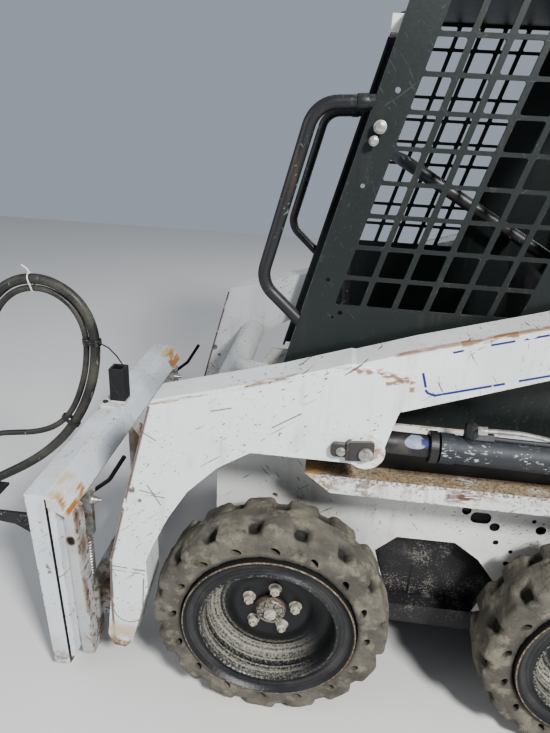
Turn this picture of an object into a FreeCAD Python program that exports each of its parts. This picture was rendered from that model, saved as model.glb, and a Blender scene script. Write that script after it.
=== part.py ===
"""Small skid steer loader: lift arms, quick-attach carrier, tool mounting frame and open cab.

Millimetres, +X forward, +Y to the machine's left, +Z up, standing on z = 0.
Side profiles are lists of (x, z) or (x, z, corner radius), with x measured from the front axle.
"""
import FreeCAD, Part
import math
import os

from FreeCAD import Vector

os.makedirs("parts", exist_ok=True)

# Driving dimensions
front_axle_x = 392.0
wheelbase = 890.0
wheel_radius = 329.0
tyre_width = 160.0
tub_half_width = 365.0
tyre_outer_y = tub_half_width + 227.0
tail_x = -1450.0
gap = 0.3
running_gap = 6.0

# Wheels
lug_count = 16
lug_root_radius = 297.0
lug_share = 0.52
shoulder_drop = 10.0
shoulder_depth = 24.0
wall_hole_radius = 266.0
wall_hole_length = 30.0
wall_hole_width = 19.0
wall_hole_depth = 110.0
wall_hole_slant = 35.0
seat_sides = 40
rim_radius = 238.0
rim_lip_radius = 186.0
rim_proud = 12.0
lip_dip = 16.0
rim_wall = 8.0
disc_inset = 80.0
dish_radius = 164.0
hub_radius = 60.0
cap_radius = 38.0
cap_length = 38.0
nut_count = 5
nut_circle_radius = 69.85
nut_across = 30.0
nut_length = 21.0
nut_start = 25.0
washer_radius = 18.5
axle_radius = 50.0

# Chassis
tub_wall = 8.0
tub_front_x = 190.0
tub_front_z = 654.0
tub_bottom_z = 180.0
chaincase_inner_y = tub_half_width - 110.0
chaincase_top_z = 540.0
ledge_top_z = 776.0
ledge_drop = 52.0
ledge_half_width = tub_half_width + 135.0
tower_front_x = -915.0
tower_rear_x = -1440.0
tower_top_z = 1512.0
tower_half_width = tub_half_width + 82.0
tower_tie_x = -1318.0
tower_tie_z = 1480.0
bumper_half_width = tub_half_width + 115.0
tie_down_y = bumper_half_width - 55.0
tie_down_z = 320.0
tie_down_radius = 22.0
cab_rail_thickness = 8.0
cab_rail_front_x = -62.0
cab_rail_top_z = 906.0
deck_z = 1072.0
lid_hinge_x = -935.0
lid_hinge_z = 1050.0
door_half_width = tub_half_width - tub_wall - 5.0
door_hinge_x = tower_rear_x - 5.0
door_hinge_y = tub_wall - tub_half_width
knuckle_radius = 5.0
knuckle_length = 30.0
door_pin_radius = 2.6
door_thickness = 30.0
door_skin = 6.0
door_bottom_z = 425.0
louvre_half_width = 250.0
louvre_height = 16.0
louvre_pitch = 40
lid_thickness = 12.0
lid_slot_half_width = 260.0
lid_slot_width = 14.0
bumper_bottom_z = 230.0
bumper_top_z = 410.0
engine_half_width = chaincase_inner_y - 35.0
engine_front_x = -940.0
engine_rear_x = -1300.0
engine_bottom_z = tub_bottom_z + 90.0
engine_top_z = 720.0
engine_foot = 60.0
tail_lamp_y = tower_half_width - 67.0
tail_lamp_width = 52.0
tail_lamp_z = 1180.0
tail_lamp_height = 110.0

# Lift arms
arm_pivot_x = -1330.0
arm_pivot_z = 1430.0
arm_inner_y = tower_half_width + 8.0
arm_outer_y = arm_inner_y + 105.0
arm_fold_depth = 9.0
arm_plate = 12.0
boss_x = -200.0
boss_z = 894.0
boss_radius = 45.0
keeper_bolt_x = -143.0
keeper_pin_radius = 16.0
hinge_x = 435.0
hinge_z = 185.0
hinge_pin_radius = 20.0
cross_x = 215.0
cross_z = 800.0
cross_radius = 45.0

# Lift cylinders
lift_y = arm_inner_y + 50.0
lift_base_x = -1150.0
lift_base_z = 880.0
lift_barrel_radius = 34.0
lift_rod_radius = 17.5
lift_sleeve_radius = 27.5
lift_eye_radius = 36.0
lift_eye_width = 44.0
lift_gland_reach = 774.0
lift_rod_tail = 105.0
lift_pin_radius = 18.0
lift_port_x = -448.0
port_across = 28.0

# Tilt cylinder
tilt_base_x = 95.0
tilt_base_z = 795.0
tilt_eye_x = 475.0
tilt_eye_z = 381.0
tilt_barrel_radius = 30.0
tilt_rod_radius = 14.0
tilt_eye_radius = 28.0
tilt_eye_width = 40.0
tilt_gland_reach = 445.0
tilt_rod_tail = 118.0
tilt_pin_radius = 15.0

# Cab
cab_half_width = tub_half_width + 65.0
cab_wall = 6.0
cab_top_z = 1935.0
cab_rear_x = -900.0
post_foot_x = 83.0
post_lean = math.tan(math.radians(14.5))
cell_lean = math.tan(math.radians(15.0))
cell_first_x = -98.0
cell_first_z = 1202.0
cell_pitch_x = 72.0
cell_pitch_z = 70.3
cell_width = 58.0
cell_height = 59.0
console_top_z = 660.0
handle_y = cab_half_width - 11.0
lever_y = tub_half_width - 59.0
lap_pivot_x = -705.0
lap_pivot_z = 1262.0
lap_bar_y = cab_half_width - 80.0
rear_window_sill_z = 1260.0
rear_window_top_z = cab_top_z - 135.0
rear_window_half_width = cab_half_width - 130.0
rear_window_lap = 20.0
seat_half_width = chaincase_inner_y - 25.0
seat_front_x = -240.0
seat_rear_x = -800.0
seat_base_top_z = 640.0
cushion_top_z = seat_base_top_z + 100.0
seat_back_top_z = 1240.0
lever_top_z = 1080.0
lever_grip_length = 120.0
lap_bar_front_x = -225.0
lap_bar_front_z = 1520.0
lap_bar_radius = 14.0
handle_radius = 14.5
handle_bend = 62.0
handle_top_z = 1636.0
handle_foot_z = 1150.0
work_lamp_y = 260.0
work_lamp_width = 100.0
cell_columns = 6
cell_rows = int((cab_top_z - 95.0 - cell_first_z) / cell_pitch_z)

# Lock spindles stand behind the carrier's uprights
spindle_y = arm_inner_y - 15.0
spindle_x = 560.0
spindle_radius = 9.0
handle_inset_y = spindle_y - 6.0

# Hydraulic hoses of the tool, tied side by side: centre-line points from the bracket to the free end
thick_hose_diameter = 26.0
thin_hose_diameter = 16.0
hose_y = 400.0
# x, y, z
thick_hose_route = [(850, 400, 575), (762, 400, 626), (676, 400, 690), (602, 400, 768), (547, 400, 860),
                    (514, 400, 961), (505, 400, 1068), (541, 400, 1152), (618, 400, 1199), (705, 400, 1194),
                    (775, 400, 1140), (819, 400, 1062), (838, 400, 974), (840, 400, 914)]
thin_hose_route = [(898, 362, 585), (893, 366, 638), (872, 374, 688), (836, 385, 722), (772, 394, 738),
                   (703, 399, 750), (641, 400, 776), (595, 400, 822), (563, 400, 885), (538, 400, 966),
                   (529, 400, 1063), (560, 400, 1136), (624, 400, 1175), (697, 400, 1170), (757, 400, 1123),
                   (791, 400, 1053), (804, 400, 969), (804, 400, 927)]

# Carrier and mounting frame
carrier_half_width = arm_outer_y - 40.0
frame_half_width = arm_outer_y
frame_top_z = 660.0
frame_bottom_z = 42.0
frame_foot_x = 645.0
frame_lean = 0.034
bar_width = 50.0
hose_bracket_y = frame_half_width - 85.0
hose_shelf_z = 520.0
hose_shelf_front_x = 935.0
hose_shelf_thickness = 8.0
hose_coupling_length = 66.0
socket_half_width = 26.0
socket_wall = 8.0
socket_x = 612.0
socket_top_z = 790.0
socket_floor_z = 690.0
socket_base_thickness = 8.0


def point(x, y, z):
    """A point whose x is measured from the front axle."""
    return Vector(front_axle_x + x, y, z)


def outline(corners, y):
    """Closed wire in a side plane, with an arc at each corner that gives a radius."""
    ring = []
    for i, corner in enumerate(corners):
        here = point(corner[0], y, corner[1])
        if len(corner) == 2:
            ring.append((here, None, here))
            continue
        before = point(corners[i - 1][0], y, corners[i - 1][1])
        after = point(corners[(i + 1) % len(corners)][0], y, corners[(i + 1) % len(corners)][1])
        back = (before - here).normalize()
        ahead = (after - here).normalize()
        half = back.getAngle(ahead) / 2
        reach = corner[2] / math.tan(half)
        sag = corner[2] / math.sin(half) - corner[2]
        ring.append((here + back * reach, here + (back + ahead).normalize() * sag, here + ahead * reach))
    edges = []
    for i, (start, middle, end) in enumerate(ring):
        if middle:
            edges.append(Part.Arc(start, middle, end).toShape())
        following = ring[(i + 1) % len(ring)][0]
        if end.distanceToPoint(following) > 0.01:
            edges.append(Part.LineSegment(end, following).toShape())
    return Part.Wire(edges)


def plate(corners, y_from, y_to):
    """Side profile extruded across the machine."""
    return Part.Face(outline(corners, y_from)).extrude(Vector(0, y_to - y_from, 0))


def block(x_from, x_to, y_from, y_to, z_from, z_to):
    """Box between two corners."""
    return Part.makeBox(x_to - x_from, y_to - y_from, z_to - z_from, point(x_from, y_from, z_from))


def rod(start, end, radius):
    """Round bar between two points."""
    along = end - start
    return Part.makeCylinder(radius, along.Length, start, along)


def cross_bar(x, z, radius, y_from, y_to):
    """Round bar across the machine."""
    return rod(point(x, y_from, z), point(x, y_to, z), radius)


def hexagon(start, along, across_flats, length):
    """Hexagonal bar: a nut, a bolt head or a fitting."""
    radius = across_flats / math.sqrt(3)
    aside = Vector(0, 1, 0)
    up = along.cross(aside)
    corners = []
    for k in range(7):
        a = k * math.pi / 3
        corners.append(start + aside * (radius * math.cos(a)) + up * (radius * math.sin(a)))
    return Part.Face(Part.makePolygon(corners)).extrude(along * length)


def bent_tube(points, radius, bend):
    """Round tube along straight runs joined by tangent arcs."""
    edges = []
    start = points[0]
    for i in range(1, len(points) - 1):
        here = points[i]
        back = (points[i - 1] - here).normalize()
        ahead = (points[i + 1] - here).normalize()
        half = back.getAngle(ahead) / 2
        reach = bend / math.tan(half)
        sag = bend / math.sin(half) - bend
        arc_start = here + back * reach
        edges.append(Part.LineSegment(start, arc_start).toShape())
        start = here + ahead * reach
        edges.append(Part.Arc(arc_start, here + (back + ahead).normalize() * sag, start).toShape())
    edges.append(Part.LineSegment(start, points[-1]).toShape())
    path = Part.Wire(edges)
    ring = Part.Wire([Part.makeCircle(radius, points[0], points[1] - points[0])])
    return path.makePipeShell([ring], True, False)


def hose(route, diameter):
    """Round hose along its route, each bend as wide as its two runs allow."""
    points = [point(*place) for place in route]
    edges = []
    start = points[0]
    tightest = 1000.0
    for i in range(1, len(points) - 1):
        here = points[i]
        back = points[i - 1] - here
        ahead = points[i + 1] - here
        reach = 0.45 * min(back.Length, ahead.Length)
        half = back.getAngle(ahead) / 2
        radius = reach * math.tan(half)
        tightest = min(tightest, radius)
        sag = radius / math.sin(half) - radius
        back.normalize()
        ahead.normalize()
        arc_start = here + back * reach
        edges.append(Part.LineSegment(start, arc_start).toShape())
        start = here + ahead * reach
        edges.append(Part.Arc(arc_start, here + (back + ahead).normalize() * sag, start).toShape())
    edges.append(Part.LineSegment(start, points[-1]).toShape())
    path = Part.Wire(edges)
    ring = Part.Wire([Part.makeCircle(diameter / 2, points[0], points[1] - points[0])])
    tube = path.makePipeShell([ring], True, False)
    print("hose: length %.0f, tightest bend %.0f, volume ratio %.4f"
          % (path.Length, tightest, tube.Volume / (path.Length * math.pi * diameter ** 2 / 4)))
    return tube


def mirrored(shape):
    """The same piece on the machine's right side."""
    return shape.mirror(Vector(0, 0, 0), Vector(0, 1, 0))


def both_sides(shape):
    """A left piece and its mirror image, as two solids."""
    return Part.makeCompound([shape, mirrored(shape)])


def fused(first, others):
    """One solid out of pieces that are welded together."""
    return first.fuse(others).removeSplitter()


def save(name, shape):
    """Write one node."""
    shape.exportStep("parts/" + name + ".step")


def post_x(z):
    """Front edge of the cab post at a height."""
    return post_foot_x - (z - ledge_top_z) * post_lean


def ring_polygon(points, y):
    """Closed wire through (radius, angle) points about the wheel's axis."""
    corners = [Vector(r * math.cos(a), y, r * math.sin(a)) for r, a in points]
    return Part.makePolygon(corners + corners[:1])


def lug_outline(y, drop, turn):
    """Toothed outline of one half of the tyre: each lug is a tooth, each gap a flat."""
    pitch = 2 * math.pi / lug_count
    points = []
    for i in range(lug_count):
        middle = i * pitch + turn
        foot = pitch * lug_share / 2
        crown = foot * 0.78
        points += [(lug_root_radius - drop, middle - foot), (wheel_radius - drop, middle - crown),
                   (wheel_radius - drop, middle + crown), (lug_root_radius - drop, middle + foot)]
    return ring_polygon(points, y)


def lug_half(y_middle, y_outer, turn):
    """Lugs and carcass from the tyre's middle to one sidewall, tapering at the shoulder."""
    inward = math.copysign(shoulder_depth, y_middle - y_outer)
    straight = Part.Face(lug_outline(y_middle, 0, turn)).extrude(Vector(0, y_outer + inward - y_middle, 0))
    taper = Part.makeLoft([lug_outline(y_outer + inward, 0, turn), lug_outline(y_outer, shoulder_drop, turn)],
                          True, True)
    return straight.fuse(taper)


def make_tyre():
    """Solid rubber tyre with two rows of staggered lugs and slanted holes in its outer wall."""
    y_inner = tyre_outer_y - tyre_width
    y_middle = tyre_outer_y - tyre_width / 2
    half_pitch = math.pi / lug_count
    tyre = lug_half(y_middle, tyre_outer_y, 0).fuse(lug_half(y_middle, y_inner, half_pitch))
    seat = [(rim_radius / math.cos(math.pi / seat_sides), 2 * math.pi * k / seat_sides) for k in range(seat_sides)]
    tyre = tyre.cut(Part.Face(ring_polygon(seat, y_inner)).extrude(Vector(0, tyre_width, 0)))
    holes = []
    for i in range(lug_count):
        turn = i * 2 * half_pitch
        across = []
        for k in range(6):
            a = k * math.pi / 3
            along = wall_hole_length / 2 * math.cos(a)
            aside = wall_hole_width / 2 * math.sin(a)
            slant = math.radians(wall_hole_slant)
            tangential = along * math.cos(slant) - aside * math.sin(slant)
            radial = along * math.sin(slant) + aside * math.cos(slant)
            across.append((wall_hole_radius + radial, turn + tangential / wall_hole_radius))
        holes.append(Part.Face(ring_polygon(across, tyre_outer_y)).extrude(Vector(0, -wall_hole_depth, 0)))
    return tyre.cut(holes).removeSplitter()


def make_rim():
    """Pressed steel wheel: proud outer ring, deep barrel, disc, hub with cap, and wheel nuts."""
    outer = tyre_outer_y + rim_proud
    inner = tyre_outer_y - tyre_width
    seat = rim_radius - gap
    disc = tyre_outer_y - disc_inset
    barrel = rim_lip_radius
    # radius, y: hub, back of the disc, tyre seat, proud ring, hollow lip, raised inner ring, dish, cap
    profile = [(0, disc + 8), (0, disc - 30), (hub_radius, disc - 30), (hub_radius, disc - rim_wall),
               (barrel + rim_wall, disc - rim_wall), (barrel + rim_wall, inner), (seat, inner),
               (seat, outer - 2), (seat - 7, outer), (seat - 14, outer - lip_dip),
               (barrel + 10, outer - lip_dip), (barrel + 2, outer - 6), (barrel - 4, outer - 8),
               (barrel - 9, disc + 30), (dish_radius, disc + 2), (cap_radius, disc + 2),
               (cap_radius, disc + cap_length - 6), (cap_radius - 12, disc + cap_length), (0, disc + cap_length)]
    corners = [Vector(r, y, 0) for r, y in profile[1:]]
    face = Part.Face(Part.makePolygon(corners + corners[:1]))
    rim = face.revolve(Vector(0, 0, 0), Vector(0, 1, 0), 360)
    nuts = []
    for i in range(nut_count):
        turn = math.radians(nut_start) + i * 2 * math.pi / nut_count
        centre = Vector(nut_circle_radius * math.cos(turn), disc, nut_circle_radius * math.sin(turn))
        corners = []
        for k in range(6):
            a = k * math.pi / 3
            corners.append(centre + Vector(nut_across / 1.73 * math.cos(a), 0, nut_across / 1.73 * math.sin(a)))
        nuts.append(Part.Face(Part.makePolygon(corners + corners[:1])).extrude(Vector(0, nut_length, 0)))
        nuts.append(Part.makeCylinder(washer_radius, 6, centre, Vector(0, 1, 0)))
    return fused(rim, nuts)


def save_wheels():
    """Four wheels, each a tyre on its rim; the right ones are mirror images."""
    tyre = make_tyre()
    rim = make_rim()
    # end of the machine, axle, turn of the tyre's pattern from +X towards +Z as the machine stands
    for end, axle, turn in (("front", 0, 1.6), ("rear", -wheelbase, 4.2)):
        place = point(axle, 0, wheel_radius)
        turned = tyre.rotated(Vector(0, 0, 0), Vector(0, 1, 0), -turn)
        for kind, shape in (("tyre", turned), ("rim", rim)):
            save(kind + "_" + end + "_left", shape.translated(place))
            save(kind + "_" + end + "_right", mirrored(shape).translated(place))
    stubs = []
    for axle in (0, -wheelbase):
        stub = cross_bar(axle, wheel_radius, axle_radius, tub_half_width,
                         tyre_outer_y - disc_inset - 30 - gap)
        collar = cross_bar(axle, wheel_radius, axle_radius + 25, tub_half_width, tub_half_width + 14)
        stubs += [fused(stub, [collar]), mirrored(fused(stub, [collar]))]
    save("axle_housings", Part.makeCompound(stubs))


def door_hinge(z):
    """Fixed half of a door hinge: two knuckles on the tub's rear edge and the pin through them."""
    pieces = [Part.makeCylinder(door_pin_radius, 3 * knuckle_length, point(door_hinge_x, door_hinge_y, z))]
    for start in (z, z + 2 * knuckle_length):
        pieces.append(Part.makeCylinder(knuckle_radius, knuckle_length, point(door_hinge_x, door_hinge_y, start)))
        pieces.append(block(door_hinge_x, tower_rear_x, door_hinge_y - tub_wall, door_hinge_y, start,
                            start + knuckle_length))
    return pieces


def save_chassis():
    """Welded tub between the wheels, fender ledges, rear towers and what closes the tail."""
    side = [(tub_front_x, tub_bottom_z), (tub_front_x, tub_front_z), (tub_front_x - 70, ledge_top_z - 8),
            (tower_rear_x, ledge_top_z - 8), (tower_rear_x, 330), (tower_rear_x + 90, tub_bottom_z)]
    walls = plate(side, tub_half_width - tub_wall, tub_half_width)
    case = [(tub_front_x, tub_bottom_z), (tub_front_x, 470), (tub_front_x - 60, chaincase_top_z),
            (-1160, chaincase_top_z), (-1220, 470), (-1220, tub_bottom_z)]
    chaincase = plate(case, chaincase_inner_y, tub_half_width - tub_wall)
    recess = [(-285, 444), (-342, 501), (-507, 503), (-581, 452), (-639, 378), (-595, 252), (-349, 247)]
    pocket = plate(recess, tub_half_width - 46, tub_half_width)
    sight_hole = plate([(-534, 581, 15), (-534, 617, 15), (-589, 617, 15), (-589, 581, 15)],
                       tub_half_width - tub_wall, tub_half_width)
    # x, z, radius
    drilled = [(-519, 619, 13), (-604, 573, 14), (-705, 606, 6), (-729, 578, 14), (-617, 521, 8),
               (-664, 494, 6), (-660, 450, 8), (20, 600, 8)]
    small_holes = [cross_bar(x, z, radius, tub_half_width - tub_wall, tub_half_width)
                   for x, z, radius in drilled]
    left = walls.fuse(chaincase).cut([pocket, sight_hole] + small_holes)
    low_hinge = door_hinge(510)
    floor = block(-1350, tub_front_x, -chaincase_inner_y, chaincase_inner_y, tub_bottom_z, tub_bottom_z + 10)
    toe = block(tub_front_x - 10, tub_front_x, 10 - tub_half_width, tub_half_width - 10, tub_bottom_z, 600)
    firewall = block(-880, -872, -chaincase_inner_y, chaincase_inner_y, tub_bottom_z + 10, ledge_top_z - 8)
    save("frame_tub", fused(left, [mirrored(left), floor, toe, firewall] + low_hinge))

    ledge = [(-62, ledge_top_z), (-131, ledge_top_z - ledge_drop), (tower_rear_x, ledge_top_z - ledge_drop),
             (tower_rear_x, ledge_top_z)]
    sheet = plate(ledge, tub_half_width, ledge_half_width)
    hollow = block(-1500, 0, tub_half_width, ledge_half_width - 8, 600, ledge_top_z - 8)
    save("fenders", both_sides(sheet.cut(hollow)))

    tower = [(tower_front_x, ledge_top_z), (tower_front_x, deck_z - 12), (-1130, deck_z + 20),
             (-1245, tower_top_z, 60), (-1400, tower_top_z, 50), (tower_rear_x, 1400), (tower_rear_x, ledge_top_z)]
    column = plate(tower, tub_half_width, tower_half_width)
    bracket = [(-1235, ledge_top_z), (-1235, 900), (-1190, 925, 30), (-1125, 925, 30), (-1085, ledge_top_z)]
    slot_half = lift_barrel_radius + running_gap
    clevis = plate(bracket, tower_half_width, lift_y + slot_half + 12)
    slot = block(-1200, -1050, lift_y - slot_half, lift_y + slot_half, lift_base_z - 78, 1000)
    base_pin = cross_bar(lift_base_x, lift_base_z, lift_pin_radius, tower_half_width, lift_y + slot_half + 18)
    pivot_pin = cross_bar(arm_pivot_x, arm_pivot_z, 30, tower_half_width, arm_outer_y + 8)
    tower_left = fused(column, [clevis.cut(slot), base_pin, pivot_pin])
    tie = cross_bar(tower_tie_x, tower_tie_z, 26, -tub_half_width, tub_half_width)
    save("towers", fused(tower_left, [tie, mirrored(tower_left)] + door_hinge(880)))

    rail = plate([(cab_rail_front_x, ledge_top_z), (cab_rail_front_x, cab_rail_top_z - 30),
                  (cab_rail_front_x - 30, cab_rail_top_z), (tower_front_x, cab_rail_top_z),
                  (tower_front_x, ledge_top_z)], cab_half_width + gap, cab_half_width + gap + cab_rail_thickness)
    save("cab_rails", both_sides(rail))

    bumper = block(tail_x, tower_rear_x, -bumper_half_width, bumper_half_width, bumper_bottom_z, bumper_top_z)
    tie_down = rod(point(tail_x, tie_down_y, tie_down_z), point(tower_rear_x, tie_down_y, tie_down_z),
                   tie_down_radius)
    save("rear_bumper", bumper.cut([tie_down, mirrored(tie_down)]))
    engine = block(engine_rear_x, engine_front_x, -engine_half_width, engine_half_width, engine_bottom_z,
                   engine_top_z)
    feet = [block(x, x + engine_foot, y, y + engine_foot, tub_bottom_z + 10, engine_bottom_z)
            for x in (engine_rear_x + 20, engine_front_x - 20 - engine_foot)
            for y in (20 - engine_half_width, engine_half_width - 20 - engine_foot)]
    save("engine_block", fused(engine, feet))
    lamps = block(tail_x, tower_rear_x, tail_lamp_y, tail_lamp_y + tail_lamp_width, tail_lamp_z,
                  tail_lamp_z + tail_lamp_height)
    save("tail_lamps", both_sides(lamps))

    lid = block(tower_rear_x, tower_front_x - 5, 5 - tub_half_width, tub_half_width - 5, deck_z - lid_thickness,
                deck_z)
    slots = [block(x, x + lid_slot_width, -lid_slot_half_width, lid_slot_half_width, deck_z - lid_thickness, deck_z)
             for x in range(-1380, -1180, 34)]
    knuckle = block(lid_hinge_x - 12, lid_hinge_x + 12, tub_half_width - 30, tub_half_width - 5,
                    lid_hinge_z - 10, deck_z - lid_thickness)
    hinge = fused(knuckle, [cross_bar(lid_hinge_x, lid_hinge_z, 8, tub_half_width - 5, tub_half_width - gap)])
    save("engine_lid", fused(lid.cut(slots), [hinge, mirrored(hinge)]))

    outer_x = tail_x + 2
    door = block(outer_x, outer_x + door_thickness, -door_half_width, door_half_width, door_bottom_z,
                 deck_z - lid_thickness - running_gap)
    inside = block(outer_x + door_skin, outer_x + door_thickness, 10 - door_half_width, door_half_width - 10,
                   door_bottom_z + 10, deck_z - lid_thickness - running_gap - 10)
    louvres = [block(outer_x, outer_x + door_skin, -louvre_half_width, louvre_half_width, z, z + louvre_height)
               for z in range(560, 900, louvre_pitch)]
    door = door.cut(inside).cut(louvres)
    knuckles = []
    for z in (510, 880):
        knuckle = Part.makeCylinder(knuckle_radius, knuckle_length - 2 * gap,
                                    point(door_hinge_x, door_hinge_y, z + knuckle_length + gap))
        leaf = block(outer_x, outer_x + door_skin, door_hinge_y, 2 - door_half_width, z + knuckle_length + gap,
                     z + 2 * knuckle_length - gap)
        bore = Part.makeCylinder(door_pin_radius + gap, knuckle_length,
                                 point(door_hinge_x, door_hinge_y, z + knuckle_length))
        knuckles.append(knuckle.fuse(leaf).cut(bore))
    save("rear_door", fused(door, knuckles))


def save_arms():
    """Lift arms: a box beam with a wide knee and a leg down to the carrier's hinge."""
    low = [(-278, 1096), (-287, 1066), (-262, 993), (-247, 929), (-236, 872), (-200, 849), (-160, 856), (71, 856),
           (151, 803), (227, 722), (278, 635), (321, 540), (343, 482), (341, 383), (376, 250), (395, 175),
           (418, 148), (450, 152), (467, 190), (451, 329), (444, 470), (397, 660), (345, 860), (320, 955)]
    top = [(312, 968), (10, 1054), (-146, 1107)]
    crease = [(314, 962), (10, 1046), (-147, 1099)]
    core = plate(low + top, arm_inner_y, arm_outer_y - arm_fold_depth)
    skin = Part.makeLoft([outline(low + top, arm_outer_y - arm_fold_depth), outline(low + crease, arm_outer_y)],
                         True, True)
    beam = plate([(-60, 1073), (-294, 1153), (-557, 1231), (-1405, 1531, 72), (-1405, 1345, 72), (-566, 1108),
                  (-272, 1000), (-60, 1000)], arm_inner_y, arm_outer_y - 8)
    boss = cross_bar(boss_x, boss_z, boss_radius, arm_inner_y, arm_outer_y + 7)
    arm = fused(core, [skin, beam, boss])
    pocket = plate([(-420, 780), (-420, 975), (-150, 975), (-120, 940), (-120, 780)], arm_inner_y + arm_plate,
                   arm_outer_y - arm_plate)
    arm = arm.cut(pocket)
    bore = cross_bar(arm_pivot_x, arm_pivot_z, 30 + gap, arm_inner_y - 1, arm_outer_y + 1)
    ring = cross_bar(arm_pivot_x, arm_pivot_z, 55, arm_outer_y - 8, arm_outer_y)
    stubs = [cross_bar(boss_x, boss_z, lift_pin_radius, arm_inner_y + arm_plate, lift_y - lift_eye_width / 2 - 4),
             cross_bar(boss_x, boss_z, lift_pin_radius, lift_y + lift_eye_width / 2 + 4, arm_outer_y - arm_plate)]
    face = arm_outer_y + 7
    strap_end_x = keeper_bolt_x + 18
    strap = plate([(boss_x - 26, boss_z - 14, 10), (boss_x - 26, boss_z + 12, 10), (strap_end_x, boss_z + 12, 12),
                   (strap_end_x, boss_z - 14, 12)], arm_outer_y, face + 5)
    keeper = [strap, cross_bar(boss_x, boss_z, keeper_pin_radius, face, face + 12),
              cross_bar(keeper_bolt_x, boss_z - 1, 8, face, face + 10)]
    hinge_pin = cross_bar(hinge_x, hinge_z, hinge_pin_radius, arm_inner_y - 40, arm_inner_y)
    arm = fused(arm, stubs + keeper + [ring, hinge_pin]).cut(bore)
    save("lift_arm_left", arm)
    save("lift_arm_right", mirrored(arm))

    tube = cross_bar(cross_x, cross_z, cross_radius, -arm_inner_y, arm_inner_y)
    lug = [(cross_x - 5, cross_z + cross_radius), (tilt_base_x - 5, tilt_base_z + 32, 30),
           (tilt_base_x - 40, tilt_base_z - 12, 25), (tilt_base_x + 12, tilt_base_z - 42, 25),
           (cross_x - 5, cross_z - cross_radius)]
    side = tilt_barrel_radius + running_gap
    ears = plate(lug, side, side + 14)
    pin = cross_bar(tilt_base_x, tilt_base_z, tilt_pin_radius, -side - 14, side + 14)
    save("arm_cross_tube", fused(tube, [ears, mirrored(ears), pin]))


def cylinder_pair(start, end, barrel_radius, rod_radius, eye_radius, eye_width, gland, tail, sleeve, pin_radius,
                  eye_bore):
    """Barrel with its base eye, and rod with its end eye, along the line between two pins."""
    along = (end - start).normalize()
    length = (end - start).Length
    across = Vector(0, eye_width / 2, 0)
    base_eye = rod(start - across, start + across, eye_radius)
    barrel = rod(start + along * (eye_radius * 0.5), start + along * gland, barrel_radius)
    head = rod(start + along * (gland - 34), start + along * gland, barrel_radius + 3)
    bore = rod(start + along * (eye_radius + 2), start + along * (gland + 1), rod_radius + 0.5)
    aside = Vector(0, barrel_radius + 10, 0)
    pin_hole = rod(start - aside, start + aside, pin_radius + gap)
    barrel = fused(base_eye, [barrel, head]).cut([bore, pin_hole])
    shaft = rod(start + along * tail, start + along * (length - eye_radius * 0.6), rod_radius)
    neck = rod(start + along * sleeve, start + along * (length - eye_radius * 0.6), rod_radius + 10)
    end_eye = rod(end - across, end + across, eye_radius)
    end_hole = rod(end - across * 1.2, end + across * 1.2, eye_bore)
    return barrel, fused(shaft, [neck, end_eye]).cut(end_hole)


def save_cylinders():
    """Two lift cylinders between the towers and the arms' knees, one tilt cylinder in the middle."""
    barrel, shaft = cylinder_pair(point(lift_base_x, lift_y, lift_base_z), point(boss_x, lift_y, boss_z),
                                  lift_barrel_radius, lift_rod_radius, lift_eye_radius, lift_eye_width,
                                  lift_gland_reach, lift_rod_tail, lift_gland_reach + 4, lift_pin_radius,
                                  lift_pin_radius + gap)
    line_z = lift_base_z + lift_barrel_radius + 15
    wall_z = lift_base_z + lift_barrel_radius
    port = hexagon(point(lift_port_x, lift_y, wall_z), Vector(0, 0, 1), port_across, 33)
    boss = rod(point(lift_port_x, lift_y, wall_z), point(lift_port_x, lift_y, wall_z + 12), 20)
    nut = hexagon(point(lift_port_x, lift_y, line_z), Vector(-1, 0, 0), port_across - 4, 48)
    pipe = rod(point(lift_port_x, lift_y, line_z), point(lift_base_x + 60, lift_y, line_z - 8), 6)
    clip = block(-905, -885, lift_y - 9, lift_y + 9, lift_base_z + lift_barrel_radius - 5, line_z + 5)
    barrel = fused(barrel, [boss, port, nut, pipe, clip])
    save("lift_barrel_left", barrel)
    save("lift_rod_left", shaft)
    save("lift_barrel_right", mirrored(barrel))
    save("lift_rod_right", mirrored(shaft))
    barrel, shaft = cylinder_pair(point(tilt_base_x, 0, tilt_base_z), point(tilt_eye_x, 0, tilt_eye_z),
                                  tilt_barrel_radius, tilt_rod_radius, tilt_eye_radius, tilt_eye_width,
                                  tilt_gland_reach, tilt_rod_tail, 500, tilt_pin_radius, tilt_pin_radius + gap)
    save("tilt_barrel", barrel)
    save("tilt_rod", shaft)


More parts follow.
